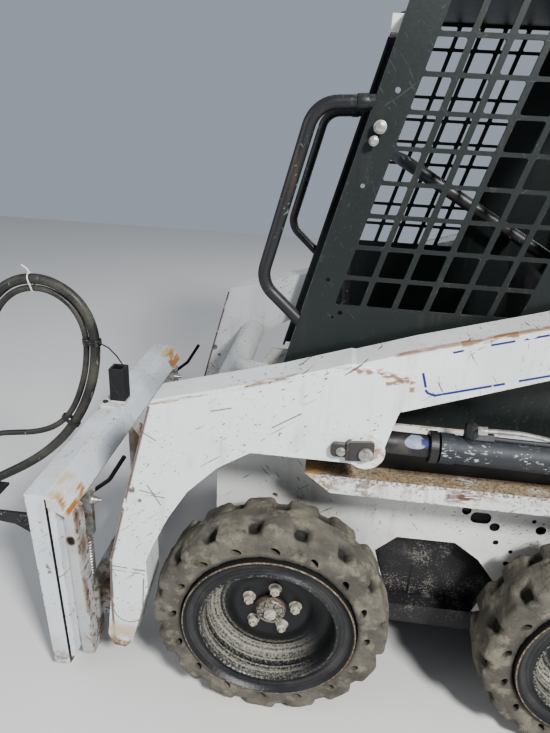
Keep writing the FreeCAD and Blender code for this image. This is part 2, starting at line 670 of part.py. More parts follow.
def save_cab():
    """Open cab: two side walls with slanted screens, roof, rear wall and its window, sill."""
    front_top = post_x(cab_top_z)
    wall = [(post_foot_x, ledge_top_z), (front_top, cab_top_z, 40), (cab_rear_x, cab_top_z, 60),
            (cab_rear_x, ledge_top_z)]
    side = plate(wall, cab_half_width - cab_wall, cab_half_width)
    cells = []
    for row in range(cell_rows):
        for column in range(cell_columns):
            z = cell_first_z + row * cell_pitch_z
            x = cell_first_x - column * cell_pitch_x - (z - cell_first_z) * cell_lean
            rise = cell_height * cell_lean
            cells.append(plate([(x, z), (x - rise, z + cell_height), (x - rise - cell_width, z + cell_height),
                                (x - cell_width, z)], cab_half_width - cab_wall, cab_half_width))
    flange_top_z = cab_top_z - 92
    flange = plate([(post_foot_x, ledge_top_z), (post_x(flange_top_z), flange_top_z),
                    (post_x(flange_top_z) - 8, flange_top_z), (post_foot_x - 8, ledge_top_z)],
                   cab_half_width - 46, cab_half_width - cab_wall)
    side = fused(side.cut(cells), [flange])
    save("cab_side_left", side)
    save("cab_side_right", mirrored(side))

    inner = cab_half_width - cab_wall
    roof = block(cab_rear_x + 30, front_top - 20, -inner, inner, cab_top_z - 30, cab_top_z - 24)
    visor = block(front_top - 34, front_top - 20, -inner, inner, cab_top_z - 90, cab_top_z - 30)
    ribs = [block(cab_rear_x + 60, front_top - 60, y - 30, y + 30, cab_top_z - 24, cab_top_z - 12)
            for y in (-240, 0, 240)]
    save("cab_roof", fused(roof, [visor] + ribs))
    rear = block(cab_rear_x, cab_rear_x + cab_wall, -inner, inner, ledge_top_z, cab_top_z - 62)
    window = block(cab_rear_x, cab_rear_x + cab_wall, -rear_window_half_width, rear_window_half_width,
                   rear_window_sill_z, rear_window_top_z)
    brace = block(cab_rear_x, cab_rear_x + 30, -inner, inner, cab_top_z - 62, cab_top_z - 24)
    save("cab_rear", fused(rear.cut(window), [brace]))
    pane_half_width = rear_window_half_width + rear_window_lap
    save("rear_window", block(cab_rear_x + cab_wall, cab_rear_x + cab_wall + 5, -pane_half_width, pane_half_width,
                              rear_window_sill_z - rear_window_lap, rear_window_top_z + rear_window_lap))
    sill = block(20, 32, -inner, inner, ledge_top_z - 8, ledge_top_z + 60)
    save("cab_sill", sill)

    save("seat_base", block(seat_rear_x, seat_front_x, 5 - chaincase_inner_y, chaincase_inner_y - 5,
                            tub_bottom_z + 10, seat_base_top_z))
    save("seat_cushion", block(seat_rear_x + 110, seat_front_x, -seat_half_width, seat_half_width, seat_base_top_z,
                               cushion_top_z))
    back = [(seat_rear_x + 160, cushion_top_z), (seat_rear_x + 100, seat_back_top_z),
            (seat_rear_x + 10, seat_back_top_z), (seat_rear_x + 60, cushion_top_z)]
    save("seat_back", plate(back, 5 - seat_half_width, seat_half_width - 5))
    console = plate([(-90, chaincase_top_z), (-120, console_top_z, 30), (-700, console_top_z, 30),
                     (-700, chaincase_top_z)], chaincase_inner_y + 7, tub_half_width - tub_wall)
    save("side_consoles", both_sides(console))
    grip_z = lever_top_z - lever_grip_length
    lever = rod(point(-180, lever_y, console_top_z), point(-150, lever_y, grip_z), 11)
    grip = rod(point(-150, lever_y, grip_z), point(-142, lever_y, lever_top_z), 20)
    boot = Part.makeCone(38, 16, 46, point(-179, lever_y, console_top_z))
    lever = fused(lever, [grip, boot]).cut(block(-300, 0, 200, 400, console_top_z - 30, console_top_z))
    save("control_levers", both_sides(lever))
    handle = bent_tube([point(post_x(handle_top_z) - 20, handle_y, handle_top_z),
                        point(-19, handle_y, handle_top_z - 8), point(80, handle_y, handle_foot_z + 91),
                        point(post_x(handle_foot_z) - 6, handle_y, handle_foot_z)], handle_radius, handle_bend)
    save("grab_handles", both_sides(handle.cut(plate(wall, handle_y - 40, handle_y + 40))))
    lamp = block(front_top - 20, front_top + 22, work_lamp_y, work_lamp_y + work_lamp_width, cab_top_z - 84,
                 cab_top_z - 34)
    save("work_lamps", both_sides(lamp))


def save_seat_bar():
    """Lap bar, raised: two side tubes on pivots beside the seat back, and a padded front tube."""
    half = bent_tube([point(lap_pivot_x, lap_bar_y, lap_pivot_z), point(lap_bar_front_x, lap_bar_y, lap_bar_front_z),
                      point(lap_bar_front_x, 0, lap_bar_front_z)], lap_bar_radius, 60)
    pivot = cross_bar(lap_pivot_x, lap_pivot_z, 22, lap_bar_y - 14, cab_half_width - cab_wall - gap)
    save("seat_bar", fused(half, [mirrored(half), pivot, mirrored(pivot)]))


def face_x(z):
    """Front face of the mounting frame at a height."""
    return frame_foot_x + (z - frame_bottom_z) * frame_lean


def save_front():
    """Carrier, its lock levers, the tool's mounting frame and its socket."""
    upright = [(574, 55), (536, 50), (551, 578), (575, 605), (604, 615)]
    bar = plate(upright, carrier_half_width - bar_width, carrier_half_width)
    low_tube = block(530, 575, -carrier_half_width + bar_width, carrier_half_width - bar_width, 200, 250)
    high_tube = plate([(575, 560), (575, 605), (604, 615), (600, 560)], -carrier_half_width + bar_width,
                      carrier_half_width - bar_width)
    ear = plate([(hinge_x - 34, hinge_z - 6, 30), (hinge_x - 8, hinge_z + 50, 30), (530, 250), (530, 150),
                 (hinge_x, hinge_z - 36, 30)], arm_inner_y - 30, arm_inner_y - running_gap)
    bore = cross_bar(hinge_x, hinge_z, hinge_pin_radius + gap, arm_inner_y - 45, arm_inner_y)
    link = block(530, 545, arm_inner_y - 30, carrier_half_width - bar_width, 150, 250)
    side = tilt_eye_width / 2 + running_gap
    clevis = plate([(575, 215), (535, 215), (tilt_eye_x - 30, tilt_eye_z - 20, 25),
                    (tilt_eye_x - 20, tilt_eye_z + 34, 25), (575, 590)], side, side + 12)
    half = fused(bar, [ear, link]).cut(bore)
    guide_block = block(spindle_x - 20, spindle_x + 17, spindle_y - 14, spindle_y + 35, 62, 205)
    carrier = fused(low_tube, [high_tube, half, mirrored(half), clevis, mirrored(clevis), guide_block,
                               mirrored(guide_block)])
    guide = rod(point(spindle_x, spindle_y, 60), point(spindle_x + 2, spindle_y, 560), spindle_radius + gap)
    save("carrier", carrier.cut([guide, mirrored(guide)]))

    spindle = rod(point(spindle_x, spindle_y, 60), point(spindle_x + 2, spindle_y, 560), spindle_radius)
    spring = rod(point(spindle_x + 1, spindle_y, 300), point(spindle_x + 1.5, spindle_y, 430), spindle_radius + 3)
    cam = plate([(536, 612, 6), (552, 588), (572, 566, 10), (568, 470), (554, 432, 12), (538, 452)],
                spindle_y - 9, spindle_y + 9)
    cone = Part.makeCone(15, 2, 30, point(540, spindle_y - 4, 568), Vector(-1, 0, 0))
    handle = bent_tube([point(542, handle_inset_y, 590), point(484, handle_inset_y, 640),
                        point(436, handle_inset_y, 722)], 6, 40)
    save("lock_levers", both_sides(fused(spindle, [spring, cam, cone, handle])))

    post = [(face_x(frame_bottom_z), frame_bottom_z), (594, 47), (607, 640), (611, frame_top_z),
            (face_x(frame_top_z), frame_top_z)]
    flange = plate([(598, 60), (576, 84), (587, 636), (611, 646)], carrier_half_width + 4, frame_half_width - 3)
    upright = plate(post, hose_bracket_y, frame_half_width).fuse(flange)
    groove = plate([(591, 40), (595, 40), (611, 646), (607, 646)], frame_half_width - 8, frame_half_width)
    upright = upright.cut(groove)
    lip = [(face_x(frame_top_z), frame_top_z), (611, frame_top_z), (578, frame_top_z - 12), (551, 600),
           (557, 596), (606, 622), (face_x(600), 600)]
    top = plate(lip, -frame_half_width, frame_half_width)
    foot = plate([(face_x(frame_bottom_z), frame_bottom_z), (600, frame_bottom_z), (602, 110), (face_x(110), 110)],
                 -frame_half_width, frame_half_width)
    save("mounting_frame", fused(top, [upright, mirrored(upright), foot]))

    bore = socket_half_width - socket_wall
    tube = block(socket_x - socket_half_width, socket_x + socket_half_width, -socket_half_width, socket_half_width,
                 frame_top_z, socket_top_z)
    hollow = block(socket_x - bore, socket_x + bore, -bore, bore, socket_floor_z, socket_top_z)
    base_top_z = frame_top_z + socket_base_thickness
    base = block(611, face_x(frame_top_z) - 5, -60, 60, frame_top_z, base_top_z)
    bolts = [hexagon(point(face_x(frame_top_z) - 17, y, base_top_z), Vector(0, 0, 1), 17, 9) for y in (-42, 42)]
    socket = fused(tube.cut(hollow), [base] + bolts)
    save("tool_socket", socket)


def save_hoses():
    """Two hoses that loop up over the frame, their bracket, and the plugs on their free ends."""
    save("hose_thick", hose(thick_hose_route, thick_hose_diameter))
    save("hose_thin", hose(thin_hose_route, thin_hose_diameter))
    thick_start = point(*thick_hose_route[0])
    thick_dir = (thick_start - point(*thick_hose_route[1])).normalize()
    thin_start = point(*thin_hose_route[0])
    thin_dir = (thin_start - point(*thin_hose_route[1])).normalize()
    top_z = hose_shelf_z
    front_x = hose_shelf_front_x
    shelf = block(front_x - 85, front_x, hose_y - 60, hose_bracket_y, top_z - hose_shelf_thickness, top_z)
    arm = plate([(615, top_z - 100), (615, top_z), (front_x, top_z), (front_x, top_z - 20),
                 (front_x - 175, top_z - 40), (face_x(top_z - 100) - 4, top_z - 100)],
                hose_bracket_y - hose_shelf_thickness, hose_bracket_y)
    saddle = block(front_x - 55, front_x - 20, hose_y - 12, hose_y + 12, top_z, top_z + 26)
    couplings = [rod(thick_start, thick_start + thick_dir * hose_coupling_length, thick_hose_diameter / 2 + 4),
                 rod(thin_start, thin_start + thin_dir * hose_coupling_length, thin_hose_diameter / 2 + 6)]
    save("hose_bracket", fused(shelf, [arm, saddle] + couplings))
    for name, route, diameter, length in (("hose_plug_thick", thick_hose_route, thick_hose_diameter, 76),
                                          ("hose_plug_thin", thin_hose_route, thin_hose_diameter, 64)):
        end = point(*route[-1])
        along = (end - point(*route[-2])).normalize()
        sleeve = rod(end, end + along * length * 0.45, diameter / 2 + 4)
        nose = rod(end + along * length * 0.45, end + along * length, diameter / 2 + 1)
        save(name, fused(sleeve, [nose]))


save_wheels()
save_chassis()
save_arms()
save_cylinders()
save_cab()
save_seat_bar()
save_front()
save_hoses()
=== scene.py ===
"""Looks of a small skid steer loader: paint, rubber, steel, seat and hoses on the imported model.

Metres, +X forward, +Y to the machine's left, +Z up, standing on z = 0.
"""
import math

import bmesh
import bpy
from mathutils import Matrix, Vector


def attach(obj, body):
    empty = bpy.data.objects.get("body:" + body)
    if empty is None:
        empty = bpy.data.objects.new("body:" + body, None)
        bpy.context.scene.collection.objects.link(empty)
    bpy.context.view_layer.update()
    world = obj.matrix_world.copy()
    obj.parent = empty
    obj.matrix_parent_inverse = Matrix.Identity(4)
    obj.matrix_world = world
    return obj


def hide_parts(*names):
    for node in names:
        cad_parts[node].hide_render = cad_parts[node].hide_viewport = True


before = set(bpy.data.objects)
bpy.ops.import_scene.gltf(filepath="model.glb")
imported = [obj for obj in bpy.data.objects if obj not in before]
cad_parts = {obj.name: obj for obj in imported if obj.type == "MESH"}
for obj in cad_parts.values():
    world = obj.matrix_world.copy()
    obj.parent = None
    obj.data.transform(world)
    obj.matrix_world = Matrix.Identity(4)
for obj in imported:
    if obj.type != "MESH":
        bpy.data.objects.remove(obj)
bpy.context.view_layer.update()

bpy.ops.object.select_all(action="DESELECT")

# Camera: a phone held at head height beside the front wheel, looking down a little and backwards.
# Its field of view is that of a 28 mm lens on a full-size frame held upright.
def new_object(name, data):
    """An object in the scene that shows this data."""
    made = bpy.data.objects.new(name, data)
    bpy.context.scene.collection.objects.link(made)
    return made


camera_data = bpy.data.cameras.new("camera")
camera_data.lens = 27.73
camera_data.sensor_width = 36.0
camera_data.clip_end = 60.0
camera = new_object("camera", camera_data)
camera.location = (0.30972, 1.71136, 1.58469)
camera.rotation_euler = [math.radians(turn) for turn in (66.670, -2.903, -173.547)]
bpy.context.scene.camera = camera


# Hydraulic hoses: black rubber over steel braid, dusty and scuffed, with crimped steel plugs on the
# free ends. They stand up from a bracket on the frame in one loop, tied together and left to hang.
front_axle_x = 0.392


class Socket:
    """One output of a material's tree. Arithmetic on it adds Math nodes."""

    def __init__(self, tree, output):
        self.tree = tree
        self.output = output

    def node(self, kind, settings, inputs, output=0):
        made = self.tree.nodes.new(kind)
        for name, value in settings.items():
            setattr(made, name, value)
        for name, value in inputs.items():
            if isinstance(value, Socket):
                self.tree.links.new(value.output, made.inputs[name])
            else:
                made.inputs[name].default_value = value
        return Socket(self.tree, made.outputs[output])

    def math(self, operation, first, second):
        return self.node("ShaderNodeMath", {"operation": operation}, {0: first, 1: second})

    def __add__(self, other):
        return self.math("ADD", self, other)

    def __radd__(self, other):
        return self.math("ADD", other, self)

    def __sub__(self, other):
        return self.math("SUBTRACT", self, other)

    def __rsub__(self, other):
        return self.math("SUBTRACT", other, self)

    def __mul__(self, other):
        return self.math("MULTIPLY", self, other)

    def __rmul__(self, other):
        return self.math("MULTIPLY", other, self)

    def above(self, low, high):
        """0 below low, 1 above high, smooth between."""
        settings = {"interpolation_type": "SMOOTHSTEP", "clamp": True}
        return self.node("ShaderNodeMapRange", settings, {"Value": self, "From Min": low, "From Max": high})

    def below(self, low, high):
        """1 below low, 0 above high, smooth between."""
        return 1.0 - self.above(low, high)

    def mixed(self, shade, mask):
        """This colour, turned to another where the mask is 1."""
        if not isinstance(shade, Socket):
            shade = (*shade, 1.0)
        return self.node("ShaderNodeMix", {"data_type": "RGBA"}, {0: mask, 6: self, 7: shade}, 2)

    def noise(self, scale, detail=4.0, stretch=(1.0, 1.0, 1.0), turn=(0.0, 0.0, 0.0), rough=0.55):
        """Cloudy noise at this position, turned and then squeezed along the axes."""
        squeeze = tuple(1.0 / amount for amount in stretch)
        moved = self.node("ShaderNodeMapping", {"vector_type": "TEXTURE"},
                          {"Vector": self, "Rotation": turn, "Scale": squeeze})
        return self.node("ShaderNodeTexNoise", {}, {"Vector": moved, "Scale": scale, "Detail": detail,
                                                    "Roughness": rough})

    def part(self, axis):
        """One coordinate of this position."""
        return self.node("ShaderNodeSeparateXYZ", {}, {0: self}, axis)

    def absolute(self):
        return self.node("ShaderNodeMath", {"operation": "ABSOLUTE"}, {0: self})

    def between(self, low, high, soft=0.001):
        """1 from low to high, 0 outside."""
        return self.above(low - soft, low + soft) * self.below(high - soft, high + soft)

    def near_line(self, start, end, half_width, soft=0.0006):
        """1 beside a line in a side plane. Its ends are (x from the front axle, z)."""
        along = Vector(end) - Vector(start)
        x = self.part(0) - (start[0] + front_axle_x)
        z = self.part(2) - start[1]
        reach = (x * along.x + z * along.y) * (1.0 / along.length)
        aside = ((x * along.y - z * along.x) * (1.0 / along.length)).absolute()
        return aside.below(half_width - soft, half_width + soft) * reach.between(0.0, along.length)

    def near_point(self, centre, radius, soft=0.001):
        """1 round a point in a side plane, given as (x from the front axle, z)."""
        x = self.part(0) - (centre[0] + front_axle_x)
        z = self.part(2) - centre[1]
        return 1.0 - (x * x + z * z).above((radius - soft) ** 2, (radius + soft) ** 2)

    def in_box(self, low, high, soft=0.002):
        """1 in a block of the side view between two corners (x from the front axle, z)."""
        across = self.part(0).between(low[0] + front_axle_x, high[0] + front_axle_x, soft)
        return across * self.part(2).between(low[1], high[1], soft)


def new_material(name, metallic=0.0, coat=0.0):
    """An empty material with its Principled shader, and the position on the object in metres."""
    material = bpy.data.materials.new(name)
    material.use_nodes = True
    tree = material.node_tree
    shader = tree.nodes["Principled BSDF"]
    shader.inputs["Metallic"].default_value = metallic
    shader.inputs["Coat Weight"].default_value = coat
    place = Socket(tree, None).node("ShaderNodeTexCoord", {}, {}, "Object")
    return material, shader, place


def colour(place, shade):
    """A flat colour to start mixing from."""
    return place.node("ShaderNodeMix", {"data_type": "RGBA"}, {0: 0.0, 6: (*shade, 1.0)}, 2)


def connect(shader, base, roughness, height=None, depth=0.001):
    """Link a material's colour, roughness and bump height to its shader."""
    links = base.tree.links
    links.new(base.output, shader.inputs["Base Color"])
    if isinstance(roughness, Socket):
        links.new(roughness.output, shader.inputs["Roughness"])
    else:
        shader.inputs["Roughness"].default_value = roughness
    if height:
        bump = base.node("ShaderNodeBump", {}, {"Height": height, "Distance": depth, "Strength": 1.0})
        links.new(bump.output, shader.inputs["Normal"])


def up_facing(place):
    """1 on faces that look up, 0 on walls and undersides."""
    normal = place.node("ShaderNodeTexCoord", {}, {}, "Normal")
    return normal.part(2).above(0.35, 0.9)


def hose_rubber():
    """Black rubber gone grey-green with dust, with a few pale scuffs along it."""
    material, shader, place = new_material("hose_rubber")
    cloud = place.noise(14.0)
    grain = place.noise(220.0, 3.0)
    dust = (cloud * 0.7 + grain * 0.3).above(0.40, 0.72)
    scuff = place.noise(60.0, 3.0, (1.0, 1.0, 0.2)).above(0.66, 0.72)
    base = colour(place, (0.022, 0.022, 0.020)).mixed((0.115, 0.11, 0.085), dust * 0.6)
    base = base.mixed((0.30, 0.28, 0.22), scuff * 0.5)
    connect(shader, base, 0.42 + dust * 0.35, grain, 0.0006)
    return material


def add_spline(data, kind, points):
    """A run of control points (x, y, z) in a curve."""
    spline = data.splines.new(kind)
    spline.points.add(len(points) - 1)
    for control, point in zip(spline.points, points):
        control.co = (*point, 1.0)
    return spline


def round_curve(name, kind, route, thickness, roundness):
    """A round wire or hose along a route of points."""
    data = bpy.data.curves.new(name, "CURVE")
    data.dimensions = "3D"
    data.bevel_depth = thickness / 2
    data.bevel_resolution = roundness
    data.use_fill_caps = True
    add_spline(data, kind, route)
    return data


def hose(name, node, route, diameter):
    """A hose along its route, as a round curve that replaces its plain CAD tube."""
    data = round_curve(name, "NURBS", [(x + front_axle_x, y, z) for x, y, z in route], diameter, 5)
    data.resolution_u = 14
    data.splines[0].order_u = 3
    data.splines[0].use_endpoint_u = True
    data.materials.append(hose_finish)
    piece = new_object(name, data)
    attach(piece, "tool_carrier")
    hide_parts(node)


hose_finish = hose_rubber()
# x from the front axle, y, z
thick_route = [(0.850, 0.400, 0.575), (0.762, 0.400, 0.626), (0.676, 0.400, 0.690), (0.602, 0.400, 0.768),
               (0.547, 0.400, 0.860), (0.514, 0.400, 0.961), (0.505, 0.400, 1.068), (0.541, 0.400, 1.152),
               (0.618, 0.400, 1.199), (0.705, 0.400, 1.194), (0.775, 0.400, 1.140), (0.819, 0.400, 1.062),
               (0.838, 0.400, 0.974), (0.840, 0.400, 0.914)]
thin_route = [(0.898, 0.362, 0.585), (0.893, 0.366, 0.638), (0.872, 0.374, 0.688), (0.836, 0.385, 0.722),
              (0.772, 0.394, 0.738), (0.703, 0.399, 0.750), (0.641, 0.400, 0.776), (0.595, 0.400, 0.822),
              (0.563, 0.400, 0.885), (0.538, 0.400, 0.966), (0.529, 0.400, 1.063), (0.560, 0.400, 1.136),
              (0.624, 0.400, 1.175), (0.697, 0.400, 1.170), (0.757, 0.400, 1.123), (0.791, 0.400, 1.053),
              (0.804, 0.400, 0.969), (0.804, 0.400, 0.927)]
hose("hose_thick_line", "hose_thick", thick_route, 0.026)
hose("hose_thin_line", "hose_thin", thin_route, 0.016)


# Studio: a plain pale floor under the tyres, one large soft key from the photographer's side, a fill
# from the front and a weak one behind, under an even sky.
def studio_light(name, place, aim, size, power):
    """A square soft light that looks at a point."""
    data = bpy.data.lights.new(name, "AREA")
    data.size = size
    data.energy = power
    light = new_object(name, data)
    light.location = place
    light.rotation_euler = (Vector(aim) - Vector(place)).to_track_quat("-Z", "Y").to_euler()


bpy.ops.mesh.primitive_plane_add(size=14.0, location=(0.0, 0.0, -0.001))
floor = bpy.context.active_object
floor.name = "floor"
bpy.ops.object.transform_apply(location=True)
floor_material, floor_shader, floor_place = new_material("floor_grey")
connect(floor_shader, colour(floor_place, (0.66, 0.65, 0.63)), 0.8)
floor.data.materials.append(floor_material)
studio_light("key", (-2.2, 4.0, 4.6), (0.1, 0.4, 0.7), 0.8, 470.0)
studio_light("fill", (4.4, 2.6, 2.6), (0.3, 0.2, 0.7), 2.6, 60.0)
studio_light("back", (-2.5, -3.4, 3.4), (0.0, 0.0, 1.0), 2.6, 90.0)
world = bpy.data.worlds.new("sky")
world.use_nodes = True
world.node_tree.nodes["Background"].inputs["Color"].default_value = (0.80, 0.88, 1.0, 1.0)
world.node_tree.nodes["Background"].inputs["Strength"].default_value = 0.36
bpy.context.scene.world = world
bpy.context.scene.view_settings.view_transform = "AgX"
bpy.context.scene.view_settings.look = "AgX - Medium High Contrast"


# White structure: welded plate under off-white enamel, chipped to brown steel along the edges, scratched,
# with dust lying on what faces up and dirt thrown up low down.
def edge_wear(place, width):
    """1 along outer edges, where the rounded normal leaves the true one."""
    rounded = place.node("ShaderNodeBevel", {"samples": 4}, {"Radius": width})
    true = place.node("ShaderNodeNewGeometry", {}, {}, "Normal")
    along = place.node("ShaderNodeVectorMath", {"operation": "DOT_PRODUCT"}, {0: rounded, 1: true}, "Value")
    return (1.0 - along).above(0.01, 0.12)


def worn_enamel(name, paint, dirt, chips, rust=(0.20, 0.085, 0.035), bare=(0.06, 0.05, 0.04), soil_top=0.42,
                dusty=0.85, flecks=1.0, scratches=0.85, rough=0.36, marks=None):
    """Machine enamel: cloudy tone, chips and specks gathered at edges, scratches, run marks, dust, soil."""
    material, shader, place = new_material(name)
    cloud = place.noise(2.6, 5.0)
    blotch = place.noise(9.0, 6.0)
    fine = place.noise(130.0)
    edges = edge_wear(place, 0.006)
    wear = place.noise(46.0, 6.0, rough=0.7) + edges * 0.17 + (blotch - 0.5) * 0.42
    chipped = wear.above(0.755 - chips, 0.770 - chips)
    fringe = wear.above(0.66 - chips, 0.77 - chips)
    crowd = place.noise(4.5).above(0.45, 0.60) + edges * 0.5
    speck = place.noise(64.0, 2.0, (1.0, 1.0, 2.6), (0.0, 0.7, 0.0)).above(0.665, 0.685) * crowd * flecks
    speck = speck + place.noise(150.0, 2.0).above(0.70, 0.73) * crowd * flecks
    scratch = place.noise(7.0, 3.0, (1.0, 1.0, 22.0), (0.3, 0.6, 0.2)).above(0.700, 0.712)
    stroke = place.noise(18.0, 2.0, (1.0, 1.0, 9.0), (0.0, -0.9, 0.1)).above(0.690, 0.705)
    stroke = stroke + place.noise(22.0, 2.0, (9.0, 1.0, 1.0), (0.0, 0.25, 0.2)).above(0.70, 0.715)
    scratch = (scratch + stroke * cloud.above(0.46, 0.52) + speck).above(0.05, 0.95)
    run = place.noise(5.0, 4.0, (7.0, 7.0, 0.6)).above(0.52, 0.74) * blotch.above(0.40, 0.6)
    soil = place.part(2).below(0.04, soil_top) * blotch.above(0.35, 0.65)
    dust = up_facing(place) * dusty * (blotch * 0.6 + fine * 0.4).above(0.34, 0.60)
    dust = (dust + soil * 0.5).above(0.0, 1.0)
    base = colour(place, paint).mixed([0.82 * part for part in paint], cloud.above(0.42, 0.62))
    base = base.mixed([0.66 * part for part in paint], fringe * 0.5)
    base = base.mixed(rust, run * 0.24)
    base = base.mixed(dirt, dust)
    base = base.mixed(bare, scratch * scratches)
    base = base.mixed(rust, chipped * 0.9)
    if marks:
        base = marks(place, base)
    connect(shader, base, fine * 0.14 + dust * 0.3 + chipped * 0.2 + rough,
            fine * 0.12 - chipped * 0.5 - scratch * 0.3, 0.0012)
    return material


def coat(nodes, material):
    """Give CAD nodes their finish."""
    for name in nodes:
        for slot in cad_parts[name].material_slots:
            slot.material = material


def arm_marks(place, base):
    """Welds, worn folds, rusty edges, scratches and what is left of an outline stripe."""
    aside = place.part(1).absolute()
    outer_face = aside.above(0.545, 0.55)
    patchy = place.noise(38.0, 3.0)
    streaky = place.noise(15.0, 5.0, rough=0.6)
    rubbed = place.noise(26.0, 5.0, (0.5, 1.0, 2.0), (0.0, 0.28, 0.0), 0.65)
    # folds: ends, half width, level of the noise that they are worn above
    for start, end, half, low in (
            ((-0.147, 1.102), (0.316, 0.958), 0.003, 0.53), ((-0.483, 1.207), (-0.372, 1.174), 0.007, 0.42),
            ((-0.600, 1.243), (-0.236, 1.133), 0.003, 0.45)):
        worn = place.near_line(start, end, half, 0.003) * aside.above(0.535, 0.545)
        base = base.mixed((0.25, 0.13, 0.065), worn * rubbed.above(low, low + 0.08) * 0.9)
    # rusty seams: ends, half width
    broken = place.noise(55.0, 4.0, (1.0, 1.0, 2.0)).above(0.44, 0.52)
    for start, end, half in (
            ((-0.150, 1.093), (-0.215, 1.094), 0.006), ((-0.205, 1.093), (-0.275, 1.082), 0.007),
            ((-0.225, 1.070), (-0.262, 1.078), 0.006), ((-0.282, 1.082), (-0.284, 1.050), 0.006)):
        seam = place.near_line(start, end, half, 0.003) * broken
        base = base.mixed((0.23, 0.095, 0.045), seam * 0.85)
    # rust along the arm's front edge, just inside it, from the foot up
    edge = [(x - 0.003, z) for x, z in ((0.452, 0.160), (0.451, 0.329), (0.444, 0.470), (0.397, 0.660),
                                        (0.345, 0.860), (0.320, 0.955))]
    ragged = streaky + place.noise(70.0) * 0.006
    for start, end in zip(edge, edge[1:]):
        line = place.near_line(start, end, 0.0035, 0.0025)
        base = base.mixed((0.085, 0.030, 0.015), line * ragged.above(0.36, 0.43) * 0.9)
    # weld beads: ends, half width, level of the noise that they show above
    ring = place.near_point((0.402, 0.292), 0.043) * (1.0 - place.near_point((0.402, 0.292), 0.0395))
    bead = ring * place.part(2).below(0.290, 0.294)
    for start, end, half, low in (
            ((0.345, 0.447), (0.446, 0.452), 0.0020, 0.40), ((0.345, 0.434), (0.448, 0.439), 0.0012, 0.44),
            ((0.4435, 0.292), (0.4425, 0.395), 0.0018, 0.42),
            ((0.3605, 0.292), (0.3520, 0.420), 0.0018, 0.40)):
        bead = bead + place.near_line(start, end, half) * patchy.above(low, low + 0.04)
    base = base.mixed((0.13, 0.105, 0.08), bead * aside.above(0.5, 0.52) * 0.85)
    z = place.part(2)
    base = base.mixed((0.46, 0.38, 0.26), z.below(0.215, 0.262) * streaky.above(0.36, 0.52) * 0.85)
    base = base.mixed((0.15, 0.075, 0.04), z.below(0.165, 0.200) * streaky.above(0.42, 0.56))
    # scratches
    for start, end in (
            ((0.330, 0.730), (0.296, 0.672)), ((0.322, 0.700), (0.284, 0.696)),
            ((0.352, 0.712), (0.306, 0.704)), ((0.372, 0.905), (0.302, 0.862)),
            ((0.168, 0.958), (0.118, 0.972)), ((0.022, 0.930), (-0.044, 0.975))):
        base = base.mixed((0.07, 0.055, 0.045), place.near_line(start, end, 0.0016) * outer_face * 0.8)
    chip = place.near_point((0.372, 0.712), 0.010, 0.004) + place.near_point((0.352, 0.680), 0.005, 0.003)
    base = base.mixed((0.14, 0.12, 0.105), chip * patchy.above(0.34, 0.42))
    stain = place.near_point((-0.245, 0.893), 0.030, 0.015) * place.noise(40.0, 5.0).above(0.45, 0.6)
    base = base.mixed((0.34, 0.16, 0.07), stain * 0.8)
    # the stripe's lower line, then its upper one, which has gaps: ends, half width
    lower = (((-0.302, 1.100), (-0.313, 1.066), 0.0028), ((-0.313, 1.060), (-0.320, 1.052), 0.0028),
             ((-0.319, 1.053), (-0.336, 1.048), 0.0028), ((-0.334, 1.048), (-0.478, 1.092), 0.0028),
             ((-0.505, 1.101), (-0.700, 1.161), 0.0026))
    upper = (((-0.343, 1.148), (-0.385, 1.162), 0.0024), ((-0.432, 1.177), (-0.700, 1.256), 0.0024))
    stripe = sum(place.near_line(*line) for line in lower)
    stripe = stripe + sum(place.near_line(*line) for line in upper) * patchy.above(0.43, 0.46)
    return base.mixed((0.014, 0.024, 0.17), stripe.above(0.0, 1.0) * patchy.above(0.34, 0.38) * outer_face)


def tub_marks(place, base):
    """The recess, the insides of the holes and everything below the recess are painted near-black as shade,
    grainy with dust.
    """
    aside = place.part(1).absolute()
    grain = place.noise(150.0, rough=0.7) * 0.6 + place.noise(16.0, 5.0) * 0.4
    # Painted shade: near-black over the recess, the holes' insides and everything below the recess.
    inside = place.in_box((-0.760, 0.240), (-0.262, 0.640)) * aside.between(0.255, 0.3642, 0.0004)
    inside = (inside + place.part(2).below(0.2545, 0.2560)).above(0.0, 1.0)
    base = base.mixed((0.017, 0.017, 0.019), inside)
    low = place.part(2).between(0.235, 0.335, 0.05) + place.near_point((-0.455, 0.430), 0.060, 0.030)
    base = base.mixed((0.19, 0.18, 0.155), inside * grain.above(0.515, 0.575) * (low * 0.8 + 0.12))
    # Painted shade: a still darker line down the slot in the recess.
    slot = place.near_line((-0.409, 0.250), (-0.409, 0.365), 0.003)
    return base.mixed((0.006, 0.006, 0.006), inside * slot)


def rail_marks(place, base):
    """Pale along its upper edge and browner below it; near-black lower down, a painted shadow of the lift
    cylinder.
    """
    edge = place.part(2) + place.noise(14.0) * 0.020
    base = base.mixed((0.52, 0.44, 0.30), edge.below(0.888, 0.902) * 0.5)
    # Painted shadow: near-black below the lift cylinder.
    return base.mixed((0.014, 0.014, 0.015), edge.below(0.868, 0.876))


